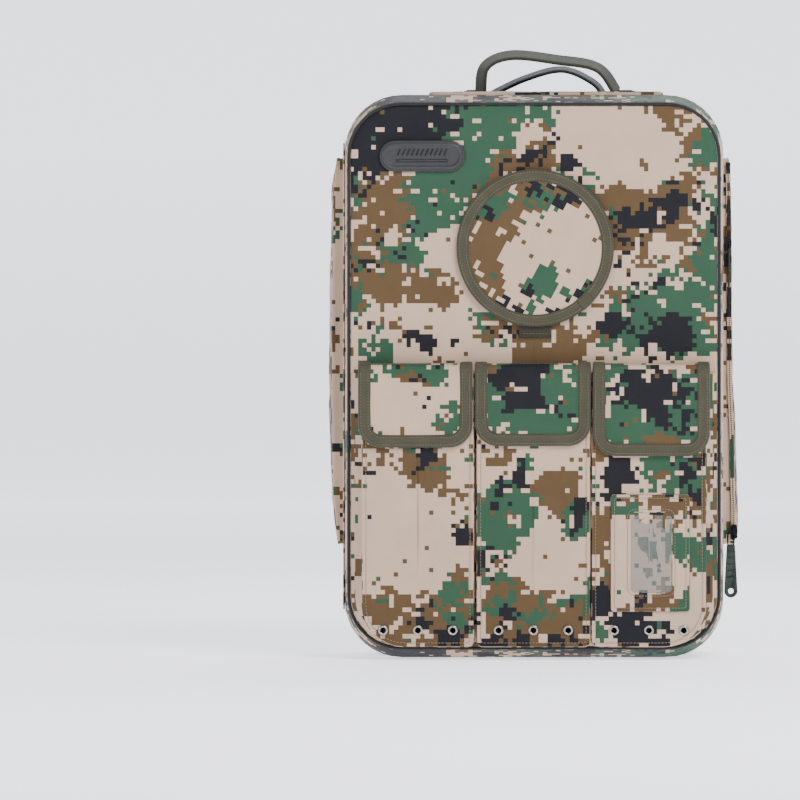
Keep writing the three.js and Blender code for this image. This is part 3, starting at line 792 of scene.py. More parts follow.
def lid_cloth():
    """The lid: a band that leans in from the zip, a narrow seat for the piping, and the front panel."""
    edge, seat = LID_Y[1], PIPE_Y[1]
    outer = []
    for k in range(8):
        t = k / 7
        corner = CORNER + (SEAT_CORNER - CORNER) * t
        y = edge + (seat + 1.5 - edge) * t
        loop = at_depth(inset_outline(between(BODY, SEAT, t), corner, 0.3, **FINE), y)
        outer.append(shaken(loop, 0.7 * math.sin(math.pi * t)))
    outer.append(at_depth(inset_outline(SEAT, SEAT_CORNER, 1.6, **FINE), seat + 0.2))
    outer.append(at_depth(inset_outline(PANEL, SEAT_CORNER - 3, 0.0, **FINE), seat - 0.8))
    outer.append(at_depth(inset_outline(PANEL, SEAT_CORNER - 3, 0.3, **FINE), FACE_Y + 0.9))
    outer += face_fill(PANEL, SEAT_CORNER - 3, FACE_Y + 0.1, 1.4, 6, 0.9, 0.0, 3.0)
    inner = [at_depth(inset_outline(between(BODY, SEAT, t), CORNER, 4, **FINE), edge + (seat + 2 - edge) * t)
             for t in (0.02, 0.5, 1.0)]
    inner += face_fill(SEAT, SEAT_CORNER, FACE_Y + 5, 6, 14, 0.2)
    obj = two_layers(outer, inner, "lid_cloth", "lid", "camo_fabric", "panel")
    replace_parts(obj, "lid_shell")


def piping():
    """Corded piping round the panel's edge and round the back."""
    radius = (PIPE_Y[1] - PIPE_Y[0]) / 2
    ring = inset_outline((*PIPE_X, *PIPE_Z), SEAT_CORNER + 1, radius, **FINE)
    front = sweep(at_depth(ring, PIPE_Y[0] + 1.5), round_section(1.4, 10), FRONT, closed=True)
    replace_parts(front.make("front_piping_cord", BLACK_CLOTH, "lid", "black_piping"), "front_piping")
    ring = inset_outline(BODY, CORNER, 1.2, **FINE)
    back = sweep(at_depth(ring, REAR_Y[1] - 3), round_section(1.8, 10), BACK, closed=True)
    back.make("back_piping_cord", BLACK_CLOTH, "pack", "black_piping")


def opening_path(y, inset):
    """The zip's way round the opening, which leaves out the hinged left side."""
    round_all = inset_outline(BODY, CORNER, inset, arc=FINE["arc"], edges=FINE["edges"])
    way = round_all[:len(round_all) - FINE["edges"][1]]
    left = way[0][0]
    return at_depth([(left, 40)] + way + [(left, 450)], y)


def outwards(path):
    """Which way is out of the pack at each point of a path round it."""
    return [Vector((along.z, 0, -along.x)).normalized() for along in tangents(path)]


def teeth(name, path, ups, across, body, pitch=2.2, length=1.5, size=0.9):
    """A coil's turns: short bars across the zip at an even pitch."""
    skin = Skin()
    points = even_path(path, pitch)
    for i in range(len(points) - 1):
        p = points[i]
        along = (points[i + 1] - p).normalized()
        up = ups[min(range(0, len(path), 4), key=lambda k: (path[k] - p).length_squared)]
        loops = []
        for end, girth in ((-0.5, 0.6), (-0.3, 1.0), (0.3, 1.0), (0.5, 0.6)):
            middle = p + across * end * length
            loops.append([middle + along * size * girth * math.cos(t) * 0.7 + up * size * girth * math.sin(t)
                          for t in (0, 1.05, 2.09, math.pi, 4.19, 5.24)])
        skin.loops(loops, cap_start=True, cap_end=True)
    return skin.make(name, COIL, body, "zip_tape")


def main_zip():
    """Both halves of the main zip: a woven tape and a row of coil each."""
    across = BACK
    for body, node, edge in (("lid", "lid_zip_tape", 0), ("pack", "rear_zip_tape", 1)):
        low, high = box(node)[1]
        path = opening_path((low + high) / 2, 1.4)
        ups = outwards(path)
        tape = sweep(path, flat_section(high - low, 1.4), ups)
        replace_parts(tape.make(f"{node}_cloth", BLACK_CLOTH, body, "zip_tape"), node)
        inner = high if edge == 0 else low
        row = [p + up * 0.5 for p, up in zip(opening_path(inner + (-0.75 if edge == 0 else 0.75), 1.4), ups)]
        teeth(f"{node}_coil", row, ups, across, body)


def hinge_cloth():
    """The gusset inside the hinged edge and the narrow strip that covers the fold outside."""
    gusset_z = box("lid_hinge_gusset")[2]
    for name, x, depth, heights, material in (
        ("lid_hinge_gusset_cloth", REAR_X[0] + WALL + 0.8, 18, gusset_z, BLACK_CLOTH),
        ("lid_hinge_strip", REAR_X[0] - 0.5, 5.5, (42, 448), CAMO),
    ):
        rows = []
        for k in range(13):
            y = ZIP_Y - depth + 2 * depth * k / 12
            bulge = 0.9 * math.cos(math.pi * (k / 12 - 0.5))
            side = 1 if x > REAR_X[0] else -1
            rows.append([Vector((x + side * bulge, y, heights[0] + (heights[1] - heights[0]) * j / 60))
                         for j in range(61)])
        skin = Skin().loops(rows, closed=False).project("plain")
        obj = skin.make(name, material, "pack", "camo_fabric")
        thicken(obj, 0.7)
        unparent(obj)
        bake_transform(obj)
        if name.endswith("gusset_cloth"):
            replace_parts(obj, "lid_hinge_gusset")


def organiser():
    """Inside the main compartment: a lining over the frame sheet and two rows of elastic loops."""
    x0, x1 = box("frame_sheet")[0]
    z0, z1 = box("frame_sheet")[2]
    y = box("frame_sheet")[1][0] - 0.8
    bounds = (x0 - 4, x1 + 4, z0 - 4, z1 + 4)
    cover = Skin().loops(face_fill(bounds, 20, y, 0, 12, 0.25), cap_end=True)
    cover.make("organiser_lining", LINING, "pack", "camo_fabric")
    stitches("organiser_stitches", at_depth(inset_outline(bounds, 20, 4, **FINE), y - 0.2),
             FRONT, "pack", BLACK_THREAD, 3.4, True)
    loops, loop_depth, margin, band_width = 6, 13, 14, 38
    for row, height in enumerate((190, 320)):
        path = []
        for k in range(loops * 12 + 1):
            t = k / (loops * 12)
            reach = loop_depth * abs(math.sin(math.pi * loops * t))
            path.append(Vector((x0 + margin + (x1 - x0 - 2 * margin) * t, y - 1.6 - reach, height)))
        band = sweep(path, [(b, a) for a, b in flat_section(band_width, 1.2)][::-1], UP)
        band.make(f"elastic_loops_{row + 1}", BLACK_CLOTH, "pack", "camo_fabric")


rear_cloth()
lid_cloth()
piping()
main_zip()
hinge_cloth()
organiser()


# ---- pockets, flaps and what is sewn to the lid ----

SIDES = ("left", "middle", "right")


def pocket_shape(side):
    """The pocket's front face, how far its sides lean out at the panel, and its corner radii."""
    (x0, x1), (y0, _), (z0, z1) = box(f"pocket_{side}")
    slope = 9.5
    corner = {"left": [36, 5, 3, 3], "middle": [5, 5, 3, 3], "right": [5, 36, 3, 3]}[side]
    lean = {"left": (slope, 0), "middle": (0, 0), "right": (0, slope)}[side]
    return (x0 + lean[0], x1 - lean[1], z0, z1), lean, corner, y0


def pocket(side):
    """A bellows pocket: leaning sides, a pinched front seam, a soft front face and an open mouth."""
    bounds, lean, corner, y0 = pocket_shape(side)
    base_y = FACE_Y - 0.4
    counts = dict(arc=8, edges=(26, 56))
    face_y = y0 + 0.2

    def loop(inset, y, out=0.0):
        grown = (bounds[0] - lean[0] * out, bounds[1] + lean[1] * out, bounds[2], bounds[3])
        radii = [r + 8 * out if r > 30 else r for r in corner]
        return at_depth(inset_outline(grown, radii, inset, **counts), y)

    loops = [loop(-0.6, base_y, 1.0), loop(0.4, base_y - 0.8, 1.0)]
    for t in (0.2, 0.4, 0.6, 0.8):
        row = loop(0.6 + 1.4 * math.sin(math.pi * t * 0.8), base_y + (face_y + 2.2 - base_y) * t, 1 - t)
        loops.append([p + wobble(p.x, p.y * 3, p.z, 22, 0.5) * Vector((1, 0, 1)) for p in row])
    seam_profile = [(2.0, 2.0), (1.6, 1.2), (-0.2, 0.7), (-0.5, 0.0),
                    (0.0, -0.9), (1.2, -1.1), (2.6, -0.3), (3.4, 0.1)]
    loops += [loop(inset, face_y + behind) for inset, behind in seam_profile]
    width = bounds[1] - bounds[0]
    for inset in insets(bounds, 5, 5.0):
        row = loop(inset, face_y)
        shaped = []
        for p in row:
            across = (p.x - bounds[0]) / width * 2 - 1
            up = (p.z - bounds[2]) / (bounds[3] - bounds[2])
            puffed = 1.1 * (1 - across ** 2) * math.sin(math.pi * min(1, max(0, up)) ** 0.8)
            crease = wobble(p.x, 0, p.z * 0.7, 30, 1.0) + wobble(p.x, 9, p.z, 13, 0.4)
            shaped.append(p - Vector((0, puffed + crease * min(1, (inset - 3) / 10), 0)))
        loops.append(shaped)
    skin = Skin().loops(loops, cap_end=True)
    top = bounds[3]
    skin.drop(lambda m: m.z > top - 2.4 and m.y > face_y + 0.95)
    skin.project(f"pocket_{side}")
    obj = skin.make(f"pocket_{side}_cloth", CAMO, "lid", "camo_fabric")
    thicken(obj, 1.4, LINING)
    holes = []
    for i in (1, 2, 3):
        (ex0, ex1), _, (ez0, ez1) = box(f"eyelet_{side}_{i}")
        holes.append(((ex0 + ex1) / 2, (ez0 + ez1) / 2))
    for x, z in holes:
        drill(obj, (x, face_y, z), 3.1, 14, 1, 24)
    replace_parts(obj, f"pocket_{side}")
    seam = [p for p in loop(3.1, face_y - 0.15) if p.z < top - 6]
    start = max(range(len(seam)), key=lambda i: (seam[i] - seam[i - 1]).length)
    stitches(f"pocket_{side}_stitches", seam[start:] + seam[:start], FRONT, "lid", TAN_THREAD)
    hem = straight((bounds[0] + 1, face_y + 0.4, top - 1.2), (bounds[1] - 1, face_y + 0.4, top - 1.2), 20)
    sweep(hem, round_section(1.5), FRONT).make(f"pocket_{side}_hem", BINDING, "lid", "olive_binding")
    for i, (x, z) in enumerate(holes):
        eyelet(side, i + 1, x, z, face_y)


def eyelet(side, number, x, z, y):
    """A rolled metal grommet set through the cloth."""
    profile = [(2.5, 1.6), (2.3, 0.0), (2.6, -0.9), (3.3, -1.25), (4.0, -0.95), (4.35, -0.3), (4.2, 0.1)]
    loops = []
    for radius, depth in profile:
        loops.append([Vector((x + radius * math.cos(t), y - 0.3 + depth, z + radius * math.sin(t)))
                      for t in (2 * math.pi * k / 28 for k in range(28))])
    skin = Skin().loops(loops[::-1])
    obj = skin.make(f"eyelet_{side}_{number}_ring", NICKEL, "lid", "eyelet_nickel")
    thicken(obj, 0.4)
    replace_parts(obj, f"eyelet_{side}_{number}")


def bound_edge(name, path, ups, width, thick, body, slot="olive_binding", rows=(-0.28, 0.28), closed=False,
               front=None, node=None, plain_ends=0):
    """A folded binding along an edge, with its rows of stitching on the side that faces front."""
    front = front or FRONT
    band = sweep(path, flat_section(width, thick), ups, closed)
    obj = band.make(name, BINDING, body, slot)
    if node:
        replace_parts(obj, node)
    for i, row in enumerate(rows):
        line = []
        count = len(path)
        for k, p in enumerate(path):
            after = path[(k + 1) % count] if closed or k + 1 < count else p
            before = path[k - 1] if closed or k else p
            side = (after - before).normalized().cross(front).normalized()
            line.append(p + side * row * width + front * thick * 0.46)
        line = line[plain_ends:len(line) - plain_ends]
        stitches(f"{name}_stitches_{i + 1}", line, front, body, THREAD, 2.6, closed, 0.55)
    return obj


def flap(side):
    """A pocket flap: sewn to the panel, over a soft bend, and down the pocket's front."""
    name = f"flap_{side}"
    (x0, x1), (by0, by1), (z0, z1) = box(f"{name}_binding")
    binding = 11.2
    corner = 20 - binding / 2
    left, right, low = x0 + binding / 2, x1 - binding / 2, z0 + binding / 2
    hang_y = (by0 + by1) / 2
    top = z1 + 2.6
    bend = smooth_path([(0, FACE_Y + 0.2, top), (0, FACE_Y - 4.0, top + 0.3), (0, hang_y + 8, top),
                        (0, hang_y + 2.6, top - 1.2), (0, hang_y + 0.5, top - 5), (0, hang_y, top - 12)], 4)
    rows = [(p.y, p.z) for p in bend]
    last = rows[-1][1]
    steps = max(6, round((last - low) / 3))
    rows += [(hang_y, last + (low - last) * k / steps) for k in range(1, steps + 1)]
    columns = 36
    width = right - left
    seed = {"left": 0.0, "middle": 70.0, "right": 150.0}[side]
    loops = []
    for y, z in rows:
        narrow = 0.0
        if z < low + corner:
            narrow = corner - math.sqrt(max(0.0, corner ** 2 - (low + corner - z) ** 2))
        hanging = max(0.0, min(1.0, (z1 + 1 - z) / 10))
        down = max(0.0, min(1.0, (z1 - z) / (z1 - low)))
        row = []
        for k in range(columns + 1):
            u = k / columns
            x = left + narrow + (width - 2 * narrow) * u
            swell = 3.4 * (1 - abs(2 * u - 1) ** 2.6) * math.sin(math.pi * min(1.0, down * 0.9 + 0.12)) ** 0.8
            crease = wobble(x * 0.8 + seed, 3, z * 1.2, 16, 0.8) + wobble(x + seed, 8, z * 0.5, 34, 0.9)
            edge = min(1.0, 5 * u, 5 * (1 - u))
            row.append(Vector((x, y - (swell + crease * edge) * hanging, z)))
        loops.append(row)
    skin = Skin().loops(loops[::-1], closed=False).project(name, front_only=True)
    cloth = skin.make(f"{name}_cloth", CAMO, "lid", "camo_fabric")
    thicken(cloth, 1.8, LINING)
    unparent(cloth)
    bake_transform(cloth)
    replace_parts(cloth, name)
    end = top - 8
    path = straight((left, hang_y, end), (left, hang_y, low + corner), 14)
    for cx, first in ((left + corner, math.pi), (right - corner, 1.5 * math.pi)):
        for k in range(11):
            t = first + (math.pi / 2) * k / 10
            point = Vector((cx + corner * math.cos(t), hang_y, low + corner + corner * math.sin(t)))
            if (point - path[-1]).length > 0.2:
                if (point - path[-1]).length > 8:
                    path += straight(path[-1], point, 14)[1:-1]
                path.append(point)
    path += straight(path[-1], (right, hang_y, end), 14)[1:]
    path = [p + Vector((0, wobble(p.x, 5, p.z, 40, 0.5), 0)) for p in path]
    turned = [(8.5, top + 0.1, 1.45), (5, top - 0.4, 1.2), (2.4, top - 1.6, 0.9), (0.8, top - 3.4, 0.5),
              (0.1, top - 5.6, 0.2)]
    head = [Vector((left, hang_y + back, z)) for back, z, _ in turned]
    tail = [Vector((right, hang_y + back, z)) for back, z, _ in turned[::-1]]
    leaning = [Vector((0, -math.cos(t), math.sin(t))) for _, _, t in turned]
    ups = leaning + [FRONT] * len(path) + leaning[::-1]
    bound_edge(f"{name}_edge", head + path + tail, ups, binding, by1 - by0, name, node=f"{name}_binding",
               plain_ends=len(turned))
    across = straight((left + 3, FACE_Y - 3, top + 0.2), (right - 3, FACE_Y - 3, top + 0.2), 20)
    stitches(f"{name}_root_stitches", across, UP, "lid", TAN_THREAD)


def disc_loops(centre, radii, depths, count=96):
    """Circles round a centre, one for each radius and depth."""
    return [[Vector((centre[0] + r * math.cos(t), y, centre[1] + r * math.sin(t)))
             for t in (2 * math.pi * k / count for k in range(count))] for r, y in zip(radii, depths)]


def emblem_cover():
    """The round cover: a bound disc of cloth with a pull tab, over a plain field on the panel."""
    (x0, x1), (y0, y1), (z0, z1) = box("cover_binding")
    centre = ((x0 + x1) / 2, (z0 + z1) / 2)
    radius = (x1 - x0) / 2
    width = radius - (box("cover_disc")[0][1] - box("cover_disc")[0][0]) / 2
    width = max(width, 10.6)
    middle_y = (y0 + y1) / 2
    radii = [radius - width / 2 - k * (radius - width / 2 - 0.5) / 18 for k in range(19)]
    loops = disc_loops(centre, radii, [middle_y] * len(radii))
    for loop, r in zip(loops, radii):
        rise = 1.0 * (1 - (r / radius) ** 2)
        for p in loop:
            p.y -= rise + wobble(p.x, 2, p.z, 26, 0.55) * (1 - r / radius)
    skin = Skin().loops([loop[::-1] for loop in loops], cap_end=True)
    skin.project("disc", math.radians(28), centre)
    disc = skin.make("cover_disc_cloth", CAMO, "emblem_cover", "camo_fabric")
    fix_facing(disc, FRONT)
    thicken(disc, 1.8, LINING)
    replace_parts(disc, "cover_disc")
    edge_radius = radius - width / 2
    circle = disc_loops(centre, [edge_radius], [middle_y], 120)[0]
    bound_edge("cover_edge", circle, FRONT, width, y1 - y0, "emblem_cover", closed=True, node="cover_binding")
    first = math.radians(-52)
    turns = [first + k * 0.028 for k in range(8)]
    lap = [Vector((centre[0] + edge_radius * math.cos(t), middle_y - 0.9,
                   centre[1] + edge_radius * math.sin(t))) for t in turns]
    lap = sweep(lap, flat_section(width + 0.4, 2.6), FRONT)
    lap.make("cover_edge_lap", BINDING, "emblem_cover", "olive_binding")
    (tx0, tx1), (ty0, ty1), (tz0, _) = box("cover_tab")
    tab_x, tab_y = (tx0 + tx1) / 2, (ty0 + ty1) / 2
    tab = straight((tab_x, tab_y, tz0 + 20), (tab_x, tab_y, tz0), 10)
    tab = sweep(tab, flat_section(tx1 - tx0, ty1 - ty0), FRONT)
    obj = tab.make("cover_tab_webbing", OLIVE, "emblem_cover", "olive_webbing")
    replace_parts(obj, "cover_tab")
    across = straight((tx0 + 3, ty0 - 0.1, tz0 + 3.5), (tx1 - 3, ty0 - 0.1, tz0 + 3.5), 8)
    stitches("cover_tab_stitches", across, FRONT, "emblem_cover", THREAD, 2.6, False, 0.5)
    field_y = FACE_Y - 0.8
    field = disc_loops(centre, [52, 51, 40, 25, 10, 1], [FACE_Y - 0.1] + [field_y] * 5)
    field = Skin().loops(field, cap_end=True).make("cover_field", FIELD, "lid", "camo_fabric")
    fix_facing(field, FRONT)
    seam = disc_loops(centre, [49.5], [field_y])[0]
    stitches("cover_field_stitches", seam, FRONT, "lid", BLACK_THREAD, 2.8, True, 0.5)
    hinge_line = [Vector((centre[0] + a, middle_y, centre[1] + radius - 3.0 - 0.008 * a ** 2))
                  for a in range(-24, 25, 3)]
    stitches("cover_hinge_stitches", hinge_line, FRONT, "emblem_cover", THREAD, 2.6, False, 0.5)


def fix_facing(obj, direction):
    """Turns the faces over if, by area, they look away from the direction."""
    total = sum((p.normal.dot(direction) * p.area for p in obj.data.polygons), 0.0)
    if total < 0:
        obj.data.flip_normals()
    return obj


def badge():
    """A moulded rubber badge: a plate, a raised rim and plain slanted ribs."""
    (x0, x1), (y0, y1), (z0, z1) = box("badge")
    bounds = (x0, x1, z0, z1)
    counts = dict(arc=6, edges=(18, 6))
    profile = [(0.0, y1 - y0), (0.0, 1.4), (0.5, 0.7), (1.4, 0.6), (2.4, 0.8), (2.9, 0.3), (3.4, 0), (4.2, 0),
               (4.7, 0.4), (5.0, 1.0), (6.5, 1.1), (9, 1.1), (12.5, 1.1)]
    loops = [at_depth(inset_outline(bounds, (z1 - z0) / 2 - 0.2, inset, **counts), y0 + behind)
             for inset, behind in profile]
    skin = Skin().loops(loops, cap_end=True)
    obj = skin.make("badge_plate", RUBBER, "lid", "badge_rubber")
    fix_facing(obj, FRONT)
    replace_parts(obj, "badge")
    ribs = Skin()
    middle = (z0 + z1) / 2
    for k in range(11):
        x = x0 + 17 + k * (x1 - x0 - 34) / 10
        line = straight((x - 1.2, y0 + 0.9, middle + 0.6), (x + 1.2, y0 + 0.9, middle + 6), 6)
        ribs.add(sweep(line, flat_section(1.5, 1.3), FRONT))
    bar = straight((x0 + 15, y0 + 0.9, middle - 4), (x1 - 15, y0 + 0.9, middle - 4), 12)
    ribs.add(sweep(bar, flat_section(2.6, 1.3), FRONT))
    ribs.make("badge_ribs", RUBBER, "lid", "badge_rubber")
    stitches("badge_stitches", loops[3], FRONT, "lid", BLACK_THREAD, 2.8, True, 0.45)


def card_holder():
    """The holder on the right pocket: a stitched cloth frame round a clear film with two notches."""
    (x0, x1), (y0, y1), (z0, z1) = box("id_frame")
    (fx0, fx1), _, (fz0, fz1) = box("id_window")
    outer, hole = (x0, x1, z0, z1), (fx0, fx1, fz0, fz1)
    counts = dict(arc=5, edges=(16, 22))
    y1 -= 0.6
    y0 -= 0.7
    deep = y1 - y0
    rims = [(outer, 3, [(0, deep), (0.2, 0.5), (1.0, 0), (2.4, 0.1), (3.2, 0.35), (4.2, 0.05), (8, -0.1)]),
            (hole, 4, [(-6.5, -0.05), (-3.6, 0.05), (-2.7, 0.3), (-1.6, 0.05), (-0.4, 0.1),
                       (0.2, 0.7), (0.2, deep)])]
    loops = []
    for bounds, radius, profile in rims:
        for inset, behind in profile:
            loop = at_depth(inset_outline(bounds, radius, inset, **counts), y0 + behind)
            loops.append([p + Vector((0, wobble(p.x, 4, p.z, 18, 0.25), 0)) for p in loop])
    obj = Skin().loops(loops).project("card").make("id_frame_cloth", CAMO, "lid", "camo_fabric")
    fix_facing(obj, FRONT)
    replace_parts(obj, "id_frame")
    for i, (bounds, radius, inset) in enumerate(((outer, 3, 3.2), (hole, 4, -2.7))):
        line = at_depth(inset_outline(bounds, radius, inset, **counts), y0 + 0.15)
        stitches(f"id_frame_stitches_{i + 1}", line, FRONT, "lid", TAN_THREAD, 2.6, True, 0.5)
    film_y = y0 + 0.6
    top = [(fx1, fz1 - 3), (fx1 - 5, fz1 - 3), (fx1 - 5, fz1 - 14), (fx1 - 8, fz1 - 14), (fx1 - 8, fz1 - 3)]
    thumb = [(fx0 + 14 + 7 * math.cos(t), fz1 - 3 + 7 * math.sin(t)) for t in
             (-math.pi * k / 12 for k in range(13))]
    edge = [(fx0, fz0), (fx1, fz0)] + top + thumb + [(fx0, fz1 - 3)]
    front_ring = [Vector((x, film_y, z)) for x, z in edge]
    back_ring = [Vector((x, film_y + 0.5, z)) for x, z in edge]
    obj = Skin().loops([front_ring, back_ring], cap_start=True, cap_end=True).make(
        "id_window_film", FILM, "lid", "clear_film", smooth=False)
    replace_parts(obj, "id_window")
    back = [at_depth(inset_outline(hole, 4, inset, **counts), y1 - 0.3) for inset in (-3, 4, 12)]
    back = Skin().loops(back, cap_end=True)
    fix_facing(back.project("card").make("id_pocket_back", CAMO, "lid", "camo_fabric"), FRONT)


for side in SIDES:
    pocket(side)
    flap(side)
emblem_cover()
badge()
card_holder()


# ---- top, handles and side pouches ----

def top_panel():
    """The padded strip across the top that the handles are sewn to."""
    (x0, x1), (y0, y1), (z0, z1) = box("top_panel")
    bounds = (x0, x1, y0, y1)
    counts = dict(arc=6, edges=(44, 16))
    steps = [(0.4, z0 - 1), (0.0, z0 + 1), (0.5, z1 - 0.6), (1.6, z1 + 0.1), (2.6, z1 - 0.3), (3.6, z1 + 0.1)]
    loops = [[Vector((a, b, z)) for a, b in inset_outline(bounds, 9, inset, **counts)] for inset, z in steps]
    for inset in insets(bounds, 4, 6):
        ring = inset_outline(bounds, 9, inset, **counts)
        loops.append([Vector((a, b, z1 + 0.5 + wobble(a, b, 3, 24, 0.7))) for a, b in ring])
    skin = Skin().loops(loops, cap_end=True).project("top")
    obj = skin.make("top_panel_cloth", CAMO, "pack", "camo_fabric")
    fix_facing(obj, UP)
    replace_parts(obj, "top_panel")
    line = [Vector((a, b, z1 - 0.1)) for a, b in inset_outline(bounds, 9, 2.6, **counts)]
    stitches("top_panel_stitches", line, UP, "pack", TAN_THREAD, closed=True)


def handle(name, points, material, thread, tilt):
    """A webbing carry handle: an arch whose ends are sewn down under short stitched patches."""
    _, (y0, y1), (z0, _) = box(name)
    middle = (y0 + y1) / 2
    width = y1 - y0
    path = [p + Vector((0, wobble(p.x, 1, p.z, 30, 0.8), 0)) for p in
            smooth_path([(x, middle, z) for x, z in points], 9)]
    path[0].z = path[-1].z = z0 + 0.2
    ways = tangents(path)
    ups = []
    for along in ways:
        upright = Vector((-along.z, 0, along.x))
        ups.append((upright * math.cos(tilt) + FRONT * math.sin(tilt)).normalized())
    web = sweep(path, flat_section(width, 2.8), ups)
    obj = web.make(f"{name}_webbing", material, name, "olive_webbing")
    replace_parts(obj, name)
    for k, side in enumerate((-1, 1)):
        row = [p + along.cross(up).normalized() * side * (width / 2 - 2.5) + up * 1.25
               for p, along, up in zip(path, ways, ups)]
        stitches(f"{name}_stitches_{k + 1}", row[2:-2], UP, name, thread, 2.8, False, 0.5)
    for k, foot in enumerate((path[0], path[-1])):
        out = -1 if k == 0 else 1
        start = foot.x + out * -3
        patch = [Vector((start + out * 17 * t / 6, middle, z0 - 0.4 + 0.9 * math.sin(math.pi * t / 6) ** 0.3))
                 for t in range(7)]
        patch = sweep(patch, flat_section(width + 1, 1.7), UP)
        patch.make(f"{name}_foot_{k + 1}", material, "pack", "olive_webbing")
        x0, x1 = sorted((start + out * 2.5, start + out * 14.5))
        near, far = middle - width / 2 + 3, middle + width / 2 - 3
        ring = [Vector((x, y, z0 + 1.2)) for x, y in ((x0, near), (x1, near), (x1, far), (x0, far))]
        box_seam = even_path(ring, 2.4, True)
        stitches(f"{name}_foot_stitches_{k + 1}", box_seam, UP, "pack", thread, 2.4, closed=True)
        cross = [ring[0], ring[2]] if k == 0 else [ring[1], ring[3]]
        stitches(f"{name}_foot_cross_{k + 1}", cross, UP, "pack", thread, 2.4)


FULLNESS = {  # how far out each pouch stands at each height, as a share of its depth
    "right": [(97, 0.9), (115, 1.0), (180, 0.86), (250, 0.62), (353, 0.58), (437, 0.48)],
    "left": [(97, 0.6), (150, 0.9), (224, 1.0), (300, 0.98), (412, 0.84), (437, 0.66)],
}


def fullness(side, z):
    """A pouch's share of its depth at a height, eased between the table's rows."""
    table = FULLNESS[side]
    z = max(table[0][0], min(table[-1][0], z))
    for (za, fa), (zb, fb) in zip(table, table[1:]):
        if z <= zb:
            t = (z - za) / (zb - za)
            return fa + (fb - fa) * t * t * (3 - 2 * t)


def side_pouch(side):
    """A flat zipped pouch on the pack's side, full to a different depth at each height."""
    sign = 1 if side == "right" else -1
    outward = Vector((sign, 0, 0))
    (x0, x1), (y0, y1), (z0, z1) = box(f"side_pouch_{side}")
    base, outer = (x0, x1) if sign > 0 else (x1, x0)
    bounds = (y0, y1, z0, z1)
    counts = dict(arc=7, edges=(18, 70))
    depth = abs(outer - base)

    def loop(inset, out, shake=0.0):
        row = []
        for y, z in inset_outline(bounds, 14, inset, **counts):
            x = base + sign * (out * depth * fullness(side, z) + shake * wobble(5, y, z, 20, 1.0))
            row.append(Vector((x, y + shake * wobble(9, y, z, 24, 0.6), z)))
        return row

    loops = [loop(-1.2, -0.02), loop(0.2, 0.02)]
    loops += [loop(0.2 + 0.7 * math.sin(math.pi * t), 0.9 * t, 0.3) for t in (0.25, 0.5, 0.75)]
    loops += [loop(0.3, 0.92), loop(0.9, 1.0), loop(1.9, 1.0), loop(2.8, 0.95)]
    span = (y1 - y0) / 2
    for inset in insets(bounds, 4.5, 4):
        loops.append(loop(inset, 1.0 + 0.3 * (1 - (1 - inset / span) ** 2), 1.2 * min(1, inset / 12)))
    skin = Skin().loops(loops, cap_end=True).project("plain")
    obj = skin.make(f"side_pouch_{side}_cloth", CAMO, "pack", "camo_fabric")
    fix_facing(obj, outward)
    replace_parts(obj, f"side_pouch_{side}")
    stitches(f"side_pouch_{side}_stitches", loop(2.8, 0.98), outward, "pack", TAN_THREAD, closed=True)
    (zx0, zx1), (zy0, zy1), (zz0, zz1) = box(f"side_zip_{side}")
    face = -1 if side == "right" else 1
    out = Vector((0, face, 0))
    near = zy1 if face < 0 else zy0
    middle = (zx1 - zx0) + 2.2
    line = []
    for k in range(61):
        z = zz0 + (zz1 - zz0) * k / 60
        line.append(Vector((base + sign * middle * fullness(side, z), near + face * 0.9, z)))
    tape = sweep(line, flat_section((zx1 - zx0) * 0.62, 1.4), out).project("strip")
    tape = tape.make(f"side_zip_{side}_tape", CAMO, "pack", "zip_tape")
    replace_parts(tape, f"side_zip_{side}")
    row = [p + out * 0.3 for p in line]
    teeth(f"side_zip_{side}_coil", row, [out] * len(row), Vector((1, 0, 0)), "pack", 1.9, 1.3, 1.0)


